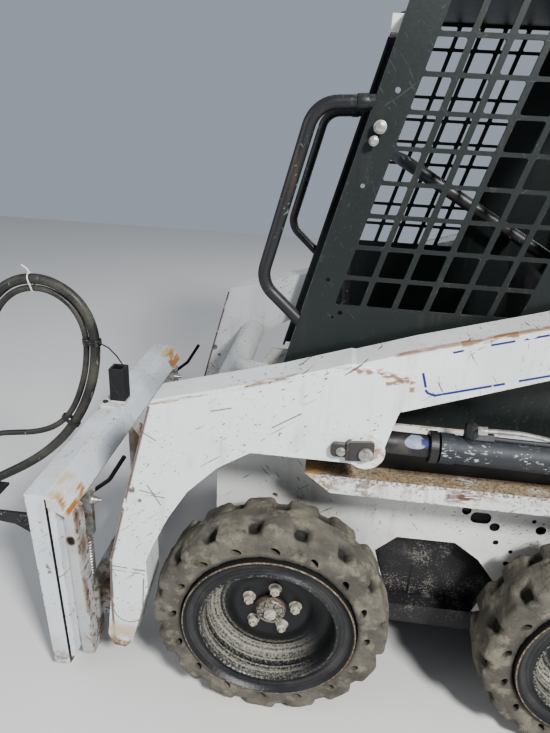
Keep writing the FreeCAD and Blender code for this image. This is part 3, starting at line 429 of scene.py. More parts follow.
def ledge_marks(place, base):
    """Sandy dust along the top with a gritty edge, and a red-brown scrape on the lip."""
    top = up_facing(place)
    grit = place.noise(120.0, rough=0.7)
    base = base.mixed((0.25, 0.18, 0.105), top * place.noise(12.0, 5.0).above(0.26, 0.46) * 0.9)
    base = base.mixed((0.42, 0.34, 0.23), top * place.noise(35.0, 5.0).above(0.50, 0.64) * 0.7)
    base = base.mixed((0.045, 0.035, 0.025), top * grit.above(0.575, 0.62) * 0.8)
    crumbs = place.noise(55.0, 4.0, (0.7, 1.0, 1.4), rough=0.7).above(0.54, 0.60)
    base = base.mixed((0.22, 0.16, 0.10), crumbs * place.part(2).between(0.752, 0.790, 0.012) * 0.75)
    base = base.mixed((0.10, 0.075, 0.05), crumbs * place.part(2).below(0.724, 0.734) * 0.7)
    scrape = place.in_box((-0.500, 0.736), (-0.418, 0.768), 0.008)
    scrape = scrape * place.noise(42.0, 5.0, (0.45, 1.0, 2.6), (0.0, 0.12, 0.0)).above(0.45, 0.50)
    base = base.mixed((0.105, 0.028, 0.018), scrape * 0.95)
    smudge = place.near_point((-0.120, 0.742), 0.026, 0.014) + place.near_point((-0.215, 0.745), 0.024, 0.014)
    base = base.mixed((0.13, 0.105, 0.075), smudge * place.noise(60.0).above(0.44, 0.54) * 0.8)
    edge_grit = place.part(2).between(0.766, 0.7765, 0.003) * grit.above(0.500, 0.545)
    base = base.mixed((0.060, 0.045, 0.030), edge_grit * 0.8)
    speckled = place.noise(70.0, rough=0.7).above(0.590, 0.625)
    base = base.mixed((0.085, 0.062, 0.042), speckled * place.part(2).above(0.70, 0.715) * 0.75)
    rusty_end = place.near_point((-0.075, 0.755), 0.040, 0.022) * place.noise(30.0).above(0.42, 0.56)
    base = base.mixed((0.42, 0.25, 0.085), rusty_end * 0.75)
    dribble = place.noise(20.0, 4.0, (3.0, 3.0, 0.5)).above(0.50, 0.64)
    return base.mixed((0.36, 0.34, 0.31), dribble * place.part(2).between(0.73, 0.774, 0.01) * 0.5)


def frame_marks(place, base):
    """Painted shade in the groove beside the flange; rust and bare yellowed metal on the near ends of the top
    lip.
    """
    aside = place.part(1).absolute()
    # Painted shade: a near-black line in the groove beside the flange.
    groove = place.near_line((0.5935, 0.040), (0.6095, 0.648), 0.0028) * aside.above(0.500, 0.505)
    base = base.mixed((0.030, 0.030, 0.028), groove)
    lip = place.in_box((0.500, 0.590), (0.606, 0.664), 0.004) * aside.between(0.440, 0.556, 0.010)
    streak = place.noise(17.0, 5.0, (1.0, 0.5, 2.4), (0.0, 0.6, 0.0))
    base = base.mixed((0.56, 0.44, 0.20), lip * streak.above(0.38, 0.48) * 0.75)
    rusty = lip * place.part(2).below(0.646, 0.654) * streak.above(0.44, 0.54)
    base = base.mixed((0.38, 0.165, 0.05), rusty)
    crust = place.part(2).between(0.040, 0.085, 0.02) * place.noise(50.0, 5.0).above(0.46, 0.56)
    base = base.mixed((0.16, 0.10, 0.06), crust * 0.7)
    scuffs = place.near_line((0.632, 0.430), (0.622, 0.395), 0.006, 0.004)
    return base.mixed((0.07, 0.065, 0.06), scuffs * place.noise(60.0, 3.0).above(0.46, 0.52) * 0.8)


def carrier_marks(place, base):
    """A torn hole in the outer bar, ringed with rust and near-black inside as painted shade, and rusty grime
    down the rear faces.
    """
    aside = place.part(1).absolute()
    outer = aside.above(0.515, 0.517)
    x = place.part(0) - (0.572 + front_axle_x)
    z = place.part(2) - 0.483
    near = x * x + z * z * 0.6 + place.noise(120.0, 3.0) * 0.00012
    base = base.mixed((0.24, 0.12, 0.06), outer * near.below(0.00019, 0.00032) * 0.9)
    # Painted shade: the inside of the torn hole.
    base = base.mixed((0.008, 0.008, 0.008), outer * near.below(0.00015, 0.00019))
    rear = 1.0 - (place.part(0) - place.part(2) * 0.03).above(0.536 + front_axle_x, 0.544 + front_axle_x)
    grime = place.noise(18.0, 5.0, (1.0, 1.0, 0.4))
    base = base.mixed((0.22, 0.13, 0.075), rear * grime.above(0.40, 0.56) * 0.85)
    base = base.mixed((0.07, 0.045, 0.03), rear * place.noise(60.0, 5.0).above(0.52, 0.60) * 0.8)
    return base.mixed((0.16, 0.11, 0.07), aside.below(0.462, 0.470) * grime.above(0.46, 0.60) * 0.8)


arm_white = (0.69, 0.705, 0.70)
structure_white = (0.68, 0.675, 0.645)
road_dust = (0.42, 0.35, 0.25)
coat(["lift_arm_left", "lift_arm_right", "arm_cross_tube"],
     worn_enamel("arm_white", arm_white, (0.60, 0.55, 0.46), 0.0, dusty=0.35, flecks=1.6, marks=arm_marks))
coat(["frame_tub", "towers", "rear_door"],
     worn_enamel("tub_white", structure_white, road_dust, -0.01, marks=tub_marks))
coat(["cab_rails"], worn_enamel("rail_white", structure_white, road_dust, 0.0, marks=rail_marks))
coat(["fenders"], worn_enamel("ledge_white", structure_white, road_dust, 0.02, flecks=1.6, marks=ledge_marks))
# The frame's white paint is given as a darker bluish grey: painted shade.
coat(["mounting_frame"], worn_enamel("frame_white_painted_shade", (0.60, 0.635, 0.66), (0.40, 0.36, 0.30), 0.01, dusty=0.35,
                                     flecks=1.5, marks=frame_marks))
# The carrier's white paint is given as a mid-grey: painted shade.
coat(["carrier"], worn_enamel("carrier_grey_painted_shade", (0.48, 0.49, 0.485), (0.36, 0.30, 0.22), 0.03, dusty=0.6,
                              flecks=1.5, marks=carrier_marks))

# Cab: pressed and welded sheet in charcoal enamel, dulled by dust and scratched where people climb in.
# The console boxes, sill, bumper and lid wear the same paint.
cab_paint = worn_enamel("cab_charcoal", (0.015, 0.0195, 0.0185), (0.12, 0.11, 0.09), -0.02,
                        (0.085, 0.070, 0.055), (0.105, 0.11, 0.105), dusty=0.36, flecks=1.1, scratches=0.22)
coat(["cab_roof", "cab_rear", "cab_sill", "side_consoles", "seat_base", "engine_lid", "rear_bumper"],
     cab_paint)


# Cab side walls: one sheet each, laser-cut with six columns and ten rows of slanted windows whose corners
# are rounded, and folded in along the front post. Two bolts and a few drilled holes show on the post.
def rounded_ring(corners, radius, steps):
    """Points round a polygon whose corners are rounded."""
    ring = []
    for i, here in enumerate(corners):
        here = Vector(here)
        back = (Vector(corners[i - 1]) - here).normalized()
        ahead = (Vector(corners[(i + 1) % len(corners)]) - here).normalized()
        half = back.angle(ahead) / 2
        reach = radius / math.tan(half)
        middle = here + (back + ahead).normalized() * (radius / math.sin(half))
        start = here + back * reach - middle
        sweep = math.pi - 2 * half
        side = 1.0 if start.cross(here + ahead * reach - middle) > 0 else -1.0
        for k in range(steps + 1):
            ring.append(middle + Matrix.Rotation(side * sweep * k / steps, 2) @ start)
    return ring


def select_only(piece):
    """Make a piece the only selected one, and the active one."""
    bpy.ops.object.select_all(action="DESELECT")
    piece.select_set(True)
    bpy.context.view_layer.objects.active = piece


def placed(piece, place=(0.0, 0.0, 0.0), turn=(0.0, 0.0, 0.0), scale=(1.0, 1.0, 1.0)):
    """Scale, turn and move a piece's own points."""
    select_only(piece)
    piece.location = place
    piece.rotation_euler = turn
    piece.scale = scale
    bpy.ops.object.transform_apply()
    return piece


def weld_and_face_out(piece):
    """Merge doubled points and turn every face outwards."""
    select_only(piece)
    bpy.ops.object.mode_set(mode="EDIT")
    bpy.ops.mesh.select_all(action="SELECT")
    bpy.ops.mesh.remove_doubles(threshold=0.00002)
    bpy.ops.mesh.normals_make_consistent(inside=False)
    bpy.ops.object.mode_set(mode="OBJECT")
    return piece


def mesh_of(name, data):
    """A curve turned into a mesh, welded."""
    select_only(new_object(name, data))
    bpy.ops.object.convert(target="MESH")
    return weld_and_face_out(bpy.context.active_object)


def cut_sheet(name, rings, y_middle, thickness):
    """Sheet in a side plane: the first ring is its outline and the others are its holes."""
    data = bpy.data.curves.new(name, "CURVE")
    data.dimensions = "2D"
    data.fill_mode = "BOTH"
    data.extrude = thickness / 2
    for ring in rings:
        spline = add_spline(data, "POLY", [(x + front_axle_x, z, 0.0) for x, z in ring])
        spline.use_cyclic_u = True
    return placed(mesh_of(name, data), (0.0, y_middle, 0.0), (math.pi / 2, 0.0, 0.0))


def joined(pieces, name):
    """Several meshes as one object."""
    select_only(pieces[0])
    for piece in pieces:
        piece.select_set(True)
    bpy.ops.object.join()
    pieces[0].name = name
    pieces[0].data.name = name
    return pieces[0]


def copied(piece, name):
    """A copy of a piece with a mesh of its own."""
    twin = piece.copy()
    twin.data = piece.data.copy()
    twin.name = name
    bpy.context.scene.collection.objects.link(twin)
    return twin


def other_side(piece, name):
    """The same piece on the machine's right."""
    return weld_and_face_out(placed(copied(piece, name), scale=(1.0, -1.0, 1.0)))


def finished(piece, material, body, nodes=(), smooth_angle=35.0):
    """Shade a piece, give it its finish, set it under its body and hide the CAD nodes that it replaces."""
    select_only(piece)
    bpy.ops.object.shade_smooth_by_angle(angle=math.radians(smooth_angle))
    piece.data.materials.clear()
    piece.data.materials.append(material)
    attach(piece, body)
    if nodes:
        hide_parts(*nodes)


cab_half_width = 0.430
cab_wall = 0.006
cab_top_z = 1.935
ledge_top_z = 0.776
post_foot_x = 0.083
post_lean = math.tan(math.radians(14.5))
wall_rear_x = -0.900
cell_rows = 10
cell_columns = 6
cell_lean = math.tan(math.radians(15.0))
cell_first = (-0.098, 1.202)
cell_pitch = (0.072, 0.0703)
cell_width = 0.0590
cell_height = 0.0610
cell_corner = 0.0045
flange_top_z = cab_top_z - 0.092
flange_reach = 0.040
flange_sheet = 0.008

post_top_x = post_foot_x - (cab_top_z - ledge_top_z) * post_lean
wall_corners = [(post_foot_x, ledge_top_z), (post_top_x, cab_top_z),
                (wall_rear_x, cab_top_z), (wall_rear_x, ledge_top_z)]
square_foot = [Vector(wall_corners[3]), Vector(wall_corners[0])]
wall_rings = [rounded_ring(wall_corners, 0.040, 6)[7:21] + square_foot]
for row in range(cell_rows):
    for column in range(cell_columns):
        z = cell_first[1] + row * cell_pitch[1]
        x = cell_first[0] - column * cell_pitch[0] - (z - cell_first[1]) * cell_lean
        top_x = x - cell_height * cell_lean
        top_z = z + cell_height
        cell = [(x, z), (top_x, top_z), (top_x - cell_width, top_z), (x - cell_width, z)]
        wall_rings.append(rounded_ring(cell, cell_corner, 4))
# x, z, radius of the holes drilled in the post
for x, z, radius in ((-0.183, 1.658, 0.006), (-0.077, 1.259, 0.0055), (-0.112, 1.182, 0.006),
                     (-0.133, 1.470, 0.005), (-0.095, 1.170, 0.0035)):
    turns = [k * math.pi / 6 for k in range(12)]
    wall_rings.append([(x + radius * math.cos(turn), z + radius * math.sin(turn)) for turn in turns])
wall = cut_sheet("cab_wall_left", wall_rings, cab_half_width - cab_wall / 2, cab_wall)
flange_top_x = post_foot_x - (flange_top_z - ledge_top_z) * post_lean
flange_ring = [(post_foot_x, ledge_top_z), (flange_top_x, flange_top_z),
               (flange_top_x - flange_sheet, flange_top_z), (post_foot_x - flange_sheet, ledge_top_z)]
flange_y = cab_half_width - cab_wall - flange_reach / 2
flange = cut_sheet("cab_flange_left", [flange_ring], flange_y, flange_reach)
wall = joined([wall, flange], "cab_wall_left")
right_wall = other_side(wall, "cab_wall_right")
finished(wall, cab_paint, "chassis", ["cab_side_left"])
finished(right_wall, cab_paint, "chassis", ["cab_side_right"])


# Black parts: handles, lap bar, levers, cylinder barrels, axle housings and the tool's own brackets.
# Gloss black enamel under a film of oily dust. The oil pipes are bare steel, the socket's foot is white.
lift_side_y = 0.505
# x from the front axle and z of the lift cylinder's rear pin and of its pin at the knee
lift_rear = (-1.150, 0.880)
lift_knee = (-0.200, 0.894)
lift_slope = (lift_knee[1] - lift_rear[1]) / (lift_knee[0] - lift_rear[0])
pipe_start_x = front_axle_x - 0.690


def barrel_marks(place, base):
    """Bare steel pipe along the top of the lift barrel, and pale scuffs in rows."""
    lift = place.part(1).absolute().above(0.3, 0.31)
    rise = place.part(2) - lift_rear[1] - (place.part(0) - (lift_rear[0] + front_axle_x)) * lift_slope
    pipe = rise.above(0.0356, 0.0360) * place.part(0).below(pipe_start_x - 0.001, pipe_start_x + 0.001) * lift
    base = base.mixed((0.40, 0.40, 0.38), pipe * place.noise(30.0).above(0.30, 0.40))
    dashes = place.noise(150.0, 3.0, (0.45, 1.0, 1.3)).above(0.575, 0.610)
    dashes = dashes * place.noise(13.0, 2.0).above(0.46, 0.55)
    return base.mixed((0.36, 0.37, 0.38), dashes * rise.between(-0.012, 0.030, 0.006) * lift)


def socket_marks(place, base):
    """The foot of the socket post wears the frame's white paint."""
    return base.mixed((0.60, 0.60, 0.57), place.part(2).below(0.6715, 0.6725))


black_enamel = worn_enamel("parts_black", (0.020, 0.020, 0.021), (0.14, 0.125, 0.10), -0.03,
                           (0.12, 0.07, 0.04), (0.20, 0.20, 0.20), dusty=0.35, flecks=0.8)
coat(["grab_handles", "seat_bar", "control_levers", "axle_housings", "hose_bracket"], black_enamel)
coat(["lift_barrel_left", "lift_barrel_right", "tilt_barrel"],
     worn_enamel("barrel_black", (0.029, 0.033, 0.038), (0.10, 0.095, 0.085), -0.03, (0.11, 0.06, 0.04),
                 (0.20, 0.20, 0.20), dusty=0.25, flecks=0.8, rough=0.52, marks=barrel_marks))
coat(["tool_socket"], worn_enamel("socket_black", (0.020, 0.020, 0.021), (0.14, 0.125, 0.10), -0.03,
                                  dusty=0.3, marks=socket_marks))


# Cylinder rods: hard chrome over ground steel, bright, with oil smears.
def chrome(name, start, end, pin_y, rod_radius, lift_side):
    """Bright chrome with smears on the rod. Its sleeve and eye, further out, are worn black enamel.

    Where lift_side is 1, the eye also has a pale bluish-grey oval patch, with a blue patch beside it.
    """
    material, shader, place = new_material(name, metallic=1.0)
    along = (Vector(end) - Vector(start)).normalized()
    aside = place.part(1).absolute() - pin_y
    x = place.part(0) - (start[0] + front_axle_x)
    z = place.part(2) - start[1]
    rise = x * along.y - z * along.x
    sleeve = (rise * rise + aside * aside).above((rod_radius + 0.001) ** 2, (rod_radius + 0.002) ** 2)
    smear = place.noise(30.0, 4.0, (0.3, 1.0, 1.0)).above(0.45, 0.7)
    film = place.noise(26.0).above(0.40, 0.56)
    outer = aside.above(0.0, 0.004) * lift_side
    oval_x = (place.part(0) - (front_axle_x - 0.317)) * (1.0 / 0.026)
    oval_z = (place.part(2) - 0.9085) * (1.0 / 0.0125)
    patch = (oval_x * oval_x + oval_z * oval_z).below(0.85, 1.05) * outer
    blue = place.in_box((-0.352, 0.900), (-0.330, 0.917), 0.002) * outer
    worn = colour(place, (0.022, 0.021, 0.021))
    worn = worn.mixed((0.15, 0.13, 0.11), place.noise(9.0, 5.0).above(0.5, 0.7) * 0.6)
    worn = worn.mixed((0.33, 0.35, 0.39), patch)
    worn = worn.mixed((0.16, 0.17, 0.29), patch * film * 0.7)
    worn = worn.mixed((0.02, 0.028, 0.12), blue * film)
    base = colour(place, (0.72, 0.73, 0.74)).mixed((0.45, 0.41, 0.35), smear * 0.6).mixed(worn, sleeve)
    connect(shader, base, 0.12 + smear * 0.25 + sleeve * 0.3, place.noise(300.0, 2.0), 0.0002)
    material.node_tree.links.new((1.0 - sleeve).output, shader.inputs["Metallic"])
    return material


lift_chrome = chrome("lift_rod_chrome", lift_rear, lift_knee, lift_side_y, 0.0175, 1.0)
coat(["lift_rod_left", "lift_rod_right"], lift_chrome)
coat(["tilt_rod"], chrome("tilt_rod_chrome", (0.095, 0.795), (0.475, 0.381), 0.0, 0.014, 0.0))


# Lock levers and hose plugs: zinc-plated steel, dull and stained brown. The levers' handles are dipped black.
handle_foot_z = 0.589
handle_front_x = front_axle_x + 0.526


def zinc(name, stain, black_behind=-9.0):
    """Dull zinc with spangle, stained with rust and dirt. What is high up and behind a limit is black."""
    material, shader, place = new_material(name, metallic=0.75)
    cells = place.noise(60.0, 5.0)
    dirty = place.noise(22.0, 6.0).above(0.62 - stain, 0.78 - stain)
    base = colour(place, (0.50, 0.49, 0.46)).mixed((0.33, 0.32, 0.30), cells.above(0.4, 0.6))
    base = base.mixed((0.17, 0.10, 0.055), dirty)
    high = place.part(2).above(handle_foot_z - 0.001, handle_foot_z + 0.001)
    handle = place.part(0).below(black_behind - 0.001, black_behind + 0.001) * high
    base = base.mixed((0.018, 0.018, 0.018), handle)
    connect(shader, base, 0.38 + dirty * 0.4, cells, 0.0006)
    return material


plug_zinc = zinc("plug_zinc", 0.05)
coat(["lock_levers"], zinc("lever_zinc", 0.12, handle_front_x))
coat(["hose_plug_thick", "hose_plug_thin"], plug_zinc)


# Tyres: solid rubber, worn and chunked, grey-brown with dust, with painted shade in the gaps between lugs.
wheel_z = 0.329
axles = (("front", front_axle_x), ("rear", front_axle_x - 0.890))
tyre_outer_y = 0.592
tyre_inner_y = 0.432
tyre_middle_y = 0.512
lug_count = 16
lug_pitch = 2 * math.pi / lug_count
lug_foot_radius = 0.276
lug_shoulder_radius = 0.318
lug_crown_radius = 0.3275
lug_foot_length = 0.092
lug_crown_length = 0.074


def wheel_space(place, axle_x):
    """Position from the middle of a wheel's axle, and the distance from that axle."""
    centred = place.node("ShaderNodeMapping", {}, {"Vector": place, "Location": (-axle_x, 0.0, -wheel_z)})
    flat = centred.node("ShaderNodeVectorMath", {"operation": "MULTIPLY"}, {0: centred, 1: (1.0, 0.0, 1.0)})
    return centred, flat.node("ShaderNodeVectorMath", {"operation": "LENGTH"}, {0: flat}, "Value")


def tyre_rubber(name, axle_x):
    """Dusty grey-brown rubber in patches; near-black painted shade on the gap floors between lugs and in a
    ring next to the rim.
    """
    material, shader, place = new_material(name)
    radius = wheel_space(place, axle_x)[1]
    cloud = place.noise(8.0, 6.0)
    grain = place.noise(160.0)
    cut = place.noise(24.0, 6.0, rough=0.75)
    patch = place.noise(17.0, 6.0, rough=0.65)
    aside = (place.part(1).absolute() - tyre_middle_y).absolute()
    gap_floor_shade = radius.above(0.284, 0.290) * radius.below(0.299, 0.309) * aside.below(0.060, 0.070)
    base = colour(place, (0.080, 0.073, 0.060)).mixed((0.138, 0.127, 0.103), cloud.above(0.40, 0.62))
    base = base.mixed((0.205, 0.186, 0.142), patch.above(0.50, 0.62) * 0.75)
    base = base.mixed((0.24, 0.215, 0.150), (grain * 0.4 + patch * 0.6).above(0.56, 0.66) * 0.6)
    base = base.mixed((0.028, 0.026, 0.022), cut.above(0.56, 0.70) * 0.7)
    # Painted shade: near-black on the gap floors between lugs, and in a ring next to the rim.
    base = base.mixed((0.012, 0.011, 0.010), gap_floor_shade * 0.85)
    base = base.mixed((0.030, 0.028, 0.025), radius.below(0.239, 0.256) * 0.8)
    connect(shader, base, 0.86, grain * 0.3 + cut * 0.7, 0.007)
    return material


def spun(name, profile, steps):
    """Closed (radius, y) outline turned round the wheel's axis into a ring."""
    data = bpy.data.meshes.new(name)
    shape = bmesh.new()
    shape.faces.new([shape.verts.new((0.0, y, radius)) for radius, y in profile])
    shape.to_mesh(data)
    shape.free()
    ring = new_object(name, data)
    select_only(ring)
    bpy.ops.object.mode_set(mode="EDIT")
    bpy.ops.mesh.select_all(action="SELECT")
    bpy.ops.mesh.spin(steps=steps, angle=2 * math.pi, center=(0.0, 0.0, 0.0), axis=(0.0, 1.0, 0.0))
    bpy.ops.object.mode_set(mode="OBJECT")
    return weld_and_face_out(ring)


def modified(piece, kind, **settings):
    """Add a modifier with these settings and apply it."""
    modifier = piece.modifiers.new(kind, kind)
    for name, value in settings.items():
        setattr(modifier, name, value)
    bpy.context.view_layer.objects.active = piece
    bpy.ops.object.modifier_apply(modifier=modifier.name)
    return piece


def bevelled(piece, width, segments=2):
    """Round the sharp edges of a piece."""
    return modified(piece, "BEVEL", width=width, segments=segments, limit_method="ANGLE",
                    angle_limit=math.radians(40))


def roughened(piece, size, depth, name):
    """Push a surface in and out with cloud noise, as wear and chunking do."""
    clouds = bpy.data.textures.new(name, "CLOUDS")
    clouds.noise_scale = size
    clouds.noise_depth = 3
    modified(piece, "DISPLACE", texture=clouds, strength=depth, mid_level=0.52)


def tyre_lug(turn, y_shoulder, y_middle):
    """One lug: a block across half the tread, narrower at its crown and sloped down over the shoulder."""
    bpy.ops.mesh.primitive_cube_add(size=1.0)
    lug = bpy.context.active_object
    outward = math.copysign(1.0, y_shoulder - y_middle)
    for corner in lug.data.vertices:
        top = corner.co.z > 0
        outer = corner.co.y * outward > 0
        crown = lug_shoulder_radius if outer else lug_crown_radius
        corner.co.x *= lug_crown_length if top else lug_foot_length
        corner.co.y = y_shoulder if outer else y_middle
        corner.co.z = crown if top else lug_foot_radius
        if outer and not top:
            corner.co.y -= outward * 0.001
        if outer:
            corner.co.x *= 1.08
    return placed(bevelled(lug, 0.011, 3), turn=(0.0, math.pi / 2 - turn, 0.0))


def tyre_hole(turn):
    """A slanted round rod that cuts one hole into the sidewall."""
    bpy.ops.mesh.primitive_cylinder_add(vertices=20, radius=0.5, depth=1.0)
    rod = placed(bpy.context.active_object, turn=(math.pi / 2, 0.0, 0.0), scale=(0.030, 0.018, 0.110))
    placed(rod, (0.0, tyre_outer_y - 0.050, 0.264), (0.0, math.radians(-35), 0.0))
    return placed(rod, turn=(0.0, math.pi / 2 - turn, 0.0))


# radius, distance inwards from the tyre's side
shoulder = [(0.2392, 0.001), (0.286, 0.001), (0.297, 0.005), (0.3045, 0.013), (0.3035, 0.020),
            (0.2940, 0.030)]
outer_half = [(radius, tyre_outer_y - inwards) for radius, inwards in shoulder]
inner_half = [(radius, tyre_inner_y + inwards) for radius, inwards in reversed(shoulder)]
pieces = [spun("carcass", outer_half + inner_half, 96)]
for i in range(lug_count):
    pieces.append(tyre_lug(i * lug_pitch, tyre_outer_y - 0.0015, tyre_middle_y - 0.022))
    pieces.append(tyre_lug((i + 0.5) * lug_pitch, tyre_inner_y + 0.0015, tyre_middle_y + 0.024))
model_tyre = joined(pieces, "tyre_pattern")
modified(model_tyre, "REMESH", mode="VOXEL", voxel_size=0.0048)
modified(model_tyre, "SMOOTH", iterations=3)
roughened(model_tyre, 0.050, 0.0075, "chunks")
roughened(model_tyre, 0.018, 0.0026, "tears")
cutter = joined([tyre_hole(i * lug_pitch) for i in range(lug_count)], "hole_cutter")
modified(model_tyre, "BOOLEAN", operation="DIFFERENCE", object=cutter)
bpy.data.objects.remove(cutter)
# degrees that each axle's holes are turned by
for (end, axle_x), phase in zip(axles, (1.6, 4.2)):
    rubber = tyre_rubber("tyre_rubber_" + end, axle_x)
    left = copied(model_tyre, "solid_tyre_%s_left" % end)
    placed(left, (axle_x, 0.0, wheel_z), (0.0, -math.radians(phase), 0.0))
    right = other_side(left, "solid_tyre_%s_right" % end)
    finished(left, rubber, end + "_left_wheel", ["tyre_%s_left" % end], 60.0)
    finished(right, rubber, end + "_right_wheel", ["tyre_%s_right" % end], 60.0)
bpy.data.objects.remove(model_tyre)


# Rims: pressed steel, black enamel scoured grey with sand inside the dish, rusty along the outer ring,
# with pale wheel nuts and a rusty hub cap.
def rim_paint(name, axle_x):
    """Black dish with sand marks in rings and a scuffed inner ring, shown on the lower front and faded
    elsewhere as painted shadow; rusty outer ring with painted shade beside it and in its split; rusty cap.
    """
    material, shader, place = new_material(name)
    centred, radius = wheel_space(place, axle_x)
    aside = place.part(1).absolute()
    cloud = place.noise(9.0, 5.0)
    grain = place.noise(170.0, 5.0, rough=0.7)
    ring_space = place.node("ShaderNodeCombineXYZ", {}, {0: radius * 170.0, 1: aside * 110.0})
    rings = place.node("ShaderNodeTexNoise", {"noise_dimensions": "2D"},
                       {"Vector": ring_space, "Scale": 1.0, "Detail": 4.0})
    # Painted light: the sand and the inner ring's scuffs show on the lower front of the dish, where it is
    # lit, and fade where painted shadow falls.
    forward = centred.part(0) * 0.75 - centred.part(2) * 0.66
    barrel = radius.above(0.118, 0.146) * radius.below(0.181, 0.184)
    sand = (rings * 0.45 + grain * 0.55).above(0.43, 0.60) * barrel
    sand = sand * (forward.above(-0.05, 0.11) * 0.9 + 0.04)
    inner_ring = radius.between(0.1830, 0.1905) * grain.above(0.50, 0.60)
    inner_ring = inner_ring * (forward.above(-0.16, 0.12) * 0.7 + 0.3)
    film = radius.between(0.193, 0.226, 0.003) * (rings * 0.5 + cloud * 0.5).above(0.46, 0.66)
    ring = radius.above(0.2315, 0.2335)
    cap = radius.below(0.041, 0.043)
    across = (centred.part(0) * 0.9992 - centred.part(2) * 0.0407 - 0.0275).absolute()
    split_shade = across.below(0.0019, 0.0027) * radius.between(0.190, 0.228) * centred.part(2).below(-0.1, 0.0)
    base = colour(place, (0.012, 0.013, 0.015)).mixed((0.33, 0.315, 0.26), sand * 0.85)
    base = base.mixed((0.13, 0.125, 0.11), film * 0.35)
    base = base.mixed((0.38, 0.37, 0.33), inner_ring * 0.7)
    base = base.mixed((0.12, 0.072, 0.042), ring * cloud.above(0.30, 0.46) * 0.9)
    base = base.mixed((0.33, 0.28, 0.20), ring * grain.above(0.46, 0.58) * 0.8)
    # Painted shade: near-black in the gap between the outer ring and the tyre, and in the ring's split.
    base = base.mixed((0.010, 0.010, 0.009), radius.above(0.2355, 0.2365))
    base = base.mixed((0.004, 0.004, 0.004), split_shade)
    base = base.mixed((0.30, 0.28, 0.24), cap * grain.above(0.42, 0.56) * 0.8)
    rusted = cap * centred.part(2).above(0.004, 0.022) * place.noise(34.0).above(0.44, 0.56)
    base = base.mixed((0.20, 0.125, 0.075), rusted * 0.8)
    connect(shader, base, 0.38 + sand * 0.4 + ring * 0.25, grain * 0.7 + rings * 0.3, 0.0012)
    return material


def turned_bar(start, end, radius, edge=0.001, sides=24):
    """Round or many-sided bar between two points, with bevelled ends."""
    along = Vector(end) - Vector(start)
    bpy.ops.mesh.primitive_cylinder_add(vertices=sides, radius=radius, depth=along.length)
    bar = placed(bpy.context.active_object, (Vector(start) + Vector(end)) / 2,
                 along.to_track_quat("Z", "Y").to_euler())
    return bevelled(bar, edge)


def studs(x, z, base_y, rows):
    """Bars that stand out sideways from one point; a row is (from y, to y, radius, edge, sides)."""
    return [turned_bar((x, base_y + low, z), (x, base_y + high, z), *shape) for low, high, *shape in rows]


nut_circle = 0.06985
nut_rows = ((0.0, 0.0045, 0.0185, 0.001, 24), (0.0, 0.0210, 0.0150, 0.0022, 6),
            (0.0, 0.0290, 0.0068, 0.0012, 16))
disc_y = 0.512
rim_profile = [(0.0, 0.482), (0.060, 0.482), (0.060, 0.502), (0.186, 0.503), (0.195, 0.495), (0.196, 0.434),
               (0.2375, 0.434), (0.2375, 0.596), (0.2370, 0.6015), (0.2345, 0.6040), (0.2310, 0.6035),
               (0.2285, 0.6005), (0.2240, 0.5920), (0.2160, 0.5875), (0.2060, 0.5870), (0.1965, 0.5910),
               (0.1915, 0.5965), (0.1880, 0.5985), (0.1850, 0.5980), (0.1825, 0.5950), (0.1805, 0.5760),
               (0.1780, 0.5460), (0.1735, 0.5290), (0.1640, 0.5170), (0.1500, 0.5125), (0.1160, 0.5120),
               (0.1110, 0.5150), (0.0980, 0.5165), (0.0920, 0.5145), (0.0480, 0.5140), (0.0470, 0.5200),
               (0.0415, 0.5215), (0.0405, 0.5330), (0.0370, 0.5370), (0.0250, 0.5385), (0.0, 0.5385)]
model_rim = spun("rim_pattern", rim_profile, 96)
nuts = []
for i in range(5):
    turn = math.radians(25) + i * 2 * math.pi / 5
    nuts += studs(nut_circle * math.cos(turn), nut_circle * math.sin(turn), disc_y, nut_rows)
nuts += studs(0.0, 0.0, disc_y, ((0.018, 0.037, 0.0190, 0.003, 6),))
model_nuts = joined(nuts, "nut_pattern")


def nut_steel():
    """Pale, dusty zinc on the wheel nuts, patched with brown."""
    material, shader, place = new_material("nut_steel", metallic=0.35)
    dirty = place.noise(85.0, 5.0).above(0.46, 0.62)
    base = colour(place, (0.50, 0.475, 0.41)).mixed((0.20, 0.13, 0.08), dirty * 0.7)
    connect(shader, base, 0.5 + dirty * 0.3, place.noise(260.0), 0.0008)
    return material


nut_finish = nut_steel()
for end, axle_x in axles:
    paint = rim_paint("rim_black_" + end, axle_x)
    for pattern, name, finish, slot in ((model_rim, "pressed_rim", paint, "black_paint"),
                                        (model_nuts, "wheel_nuts", nut_finish, "zinc_steel")):
        left = placed(copied(pattern, "%s_%s_left" % (name, end)), (axle_x, 0.0, wheel_z))
        right = other_side(left, "%s_%s_right" % (name, end))
        for piece, side in ((left, "left"), (right, "right")):
            rim_node = ["rim_%s_%s" % (end, side)] if pattern is model_rim else []
            finished(piece, finish, "%s_%s_wheel" % (end, side), rim_node)
bpy.data.objects.remove(model_rim)
bpy.data.objects.remove(model_nuts)


# Window, lamps and engine: clear toughened pane, moulded lenses, and the oily iron of the engine.
def lens(name, shade, rough, alpha=1.0):
    """Smooth pane or lens with a film of dust."""
    material, shader, place = new_material(name, coat=0.3)
    dust = place.noise(12.0, 5.0).above(0.4, 0.75)
    base = colour(place, shade).mixed((0.45, 0.43, 0.38), dust * 0.25)
    connect(shader, base, rough + dust * 0.2)
    shader.inputs["Alpha"].default_value = alpha
    return material


coat(["rear_window"], lens("window_pane", (0.55, 0.62, 0.62), 0.05, 0.25))
coat(["tail_lamps"], lens("lens_red", (0.42, 0.02, 0.02), 0.15))
coat(["work_lamps"], lens("lens_clear", (0.72, 0.72, 0.70), 0.12))
coat(["engine_block"], worn_enamel("engine_grey", (0.10, 0.10, 0.10), (0.12, 0.10, 0.08), 0.02))


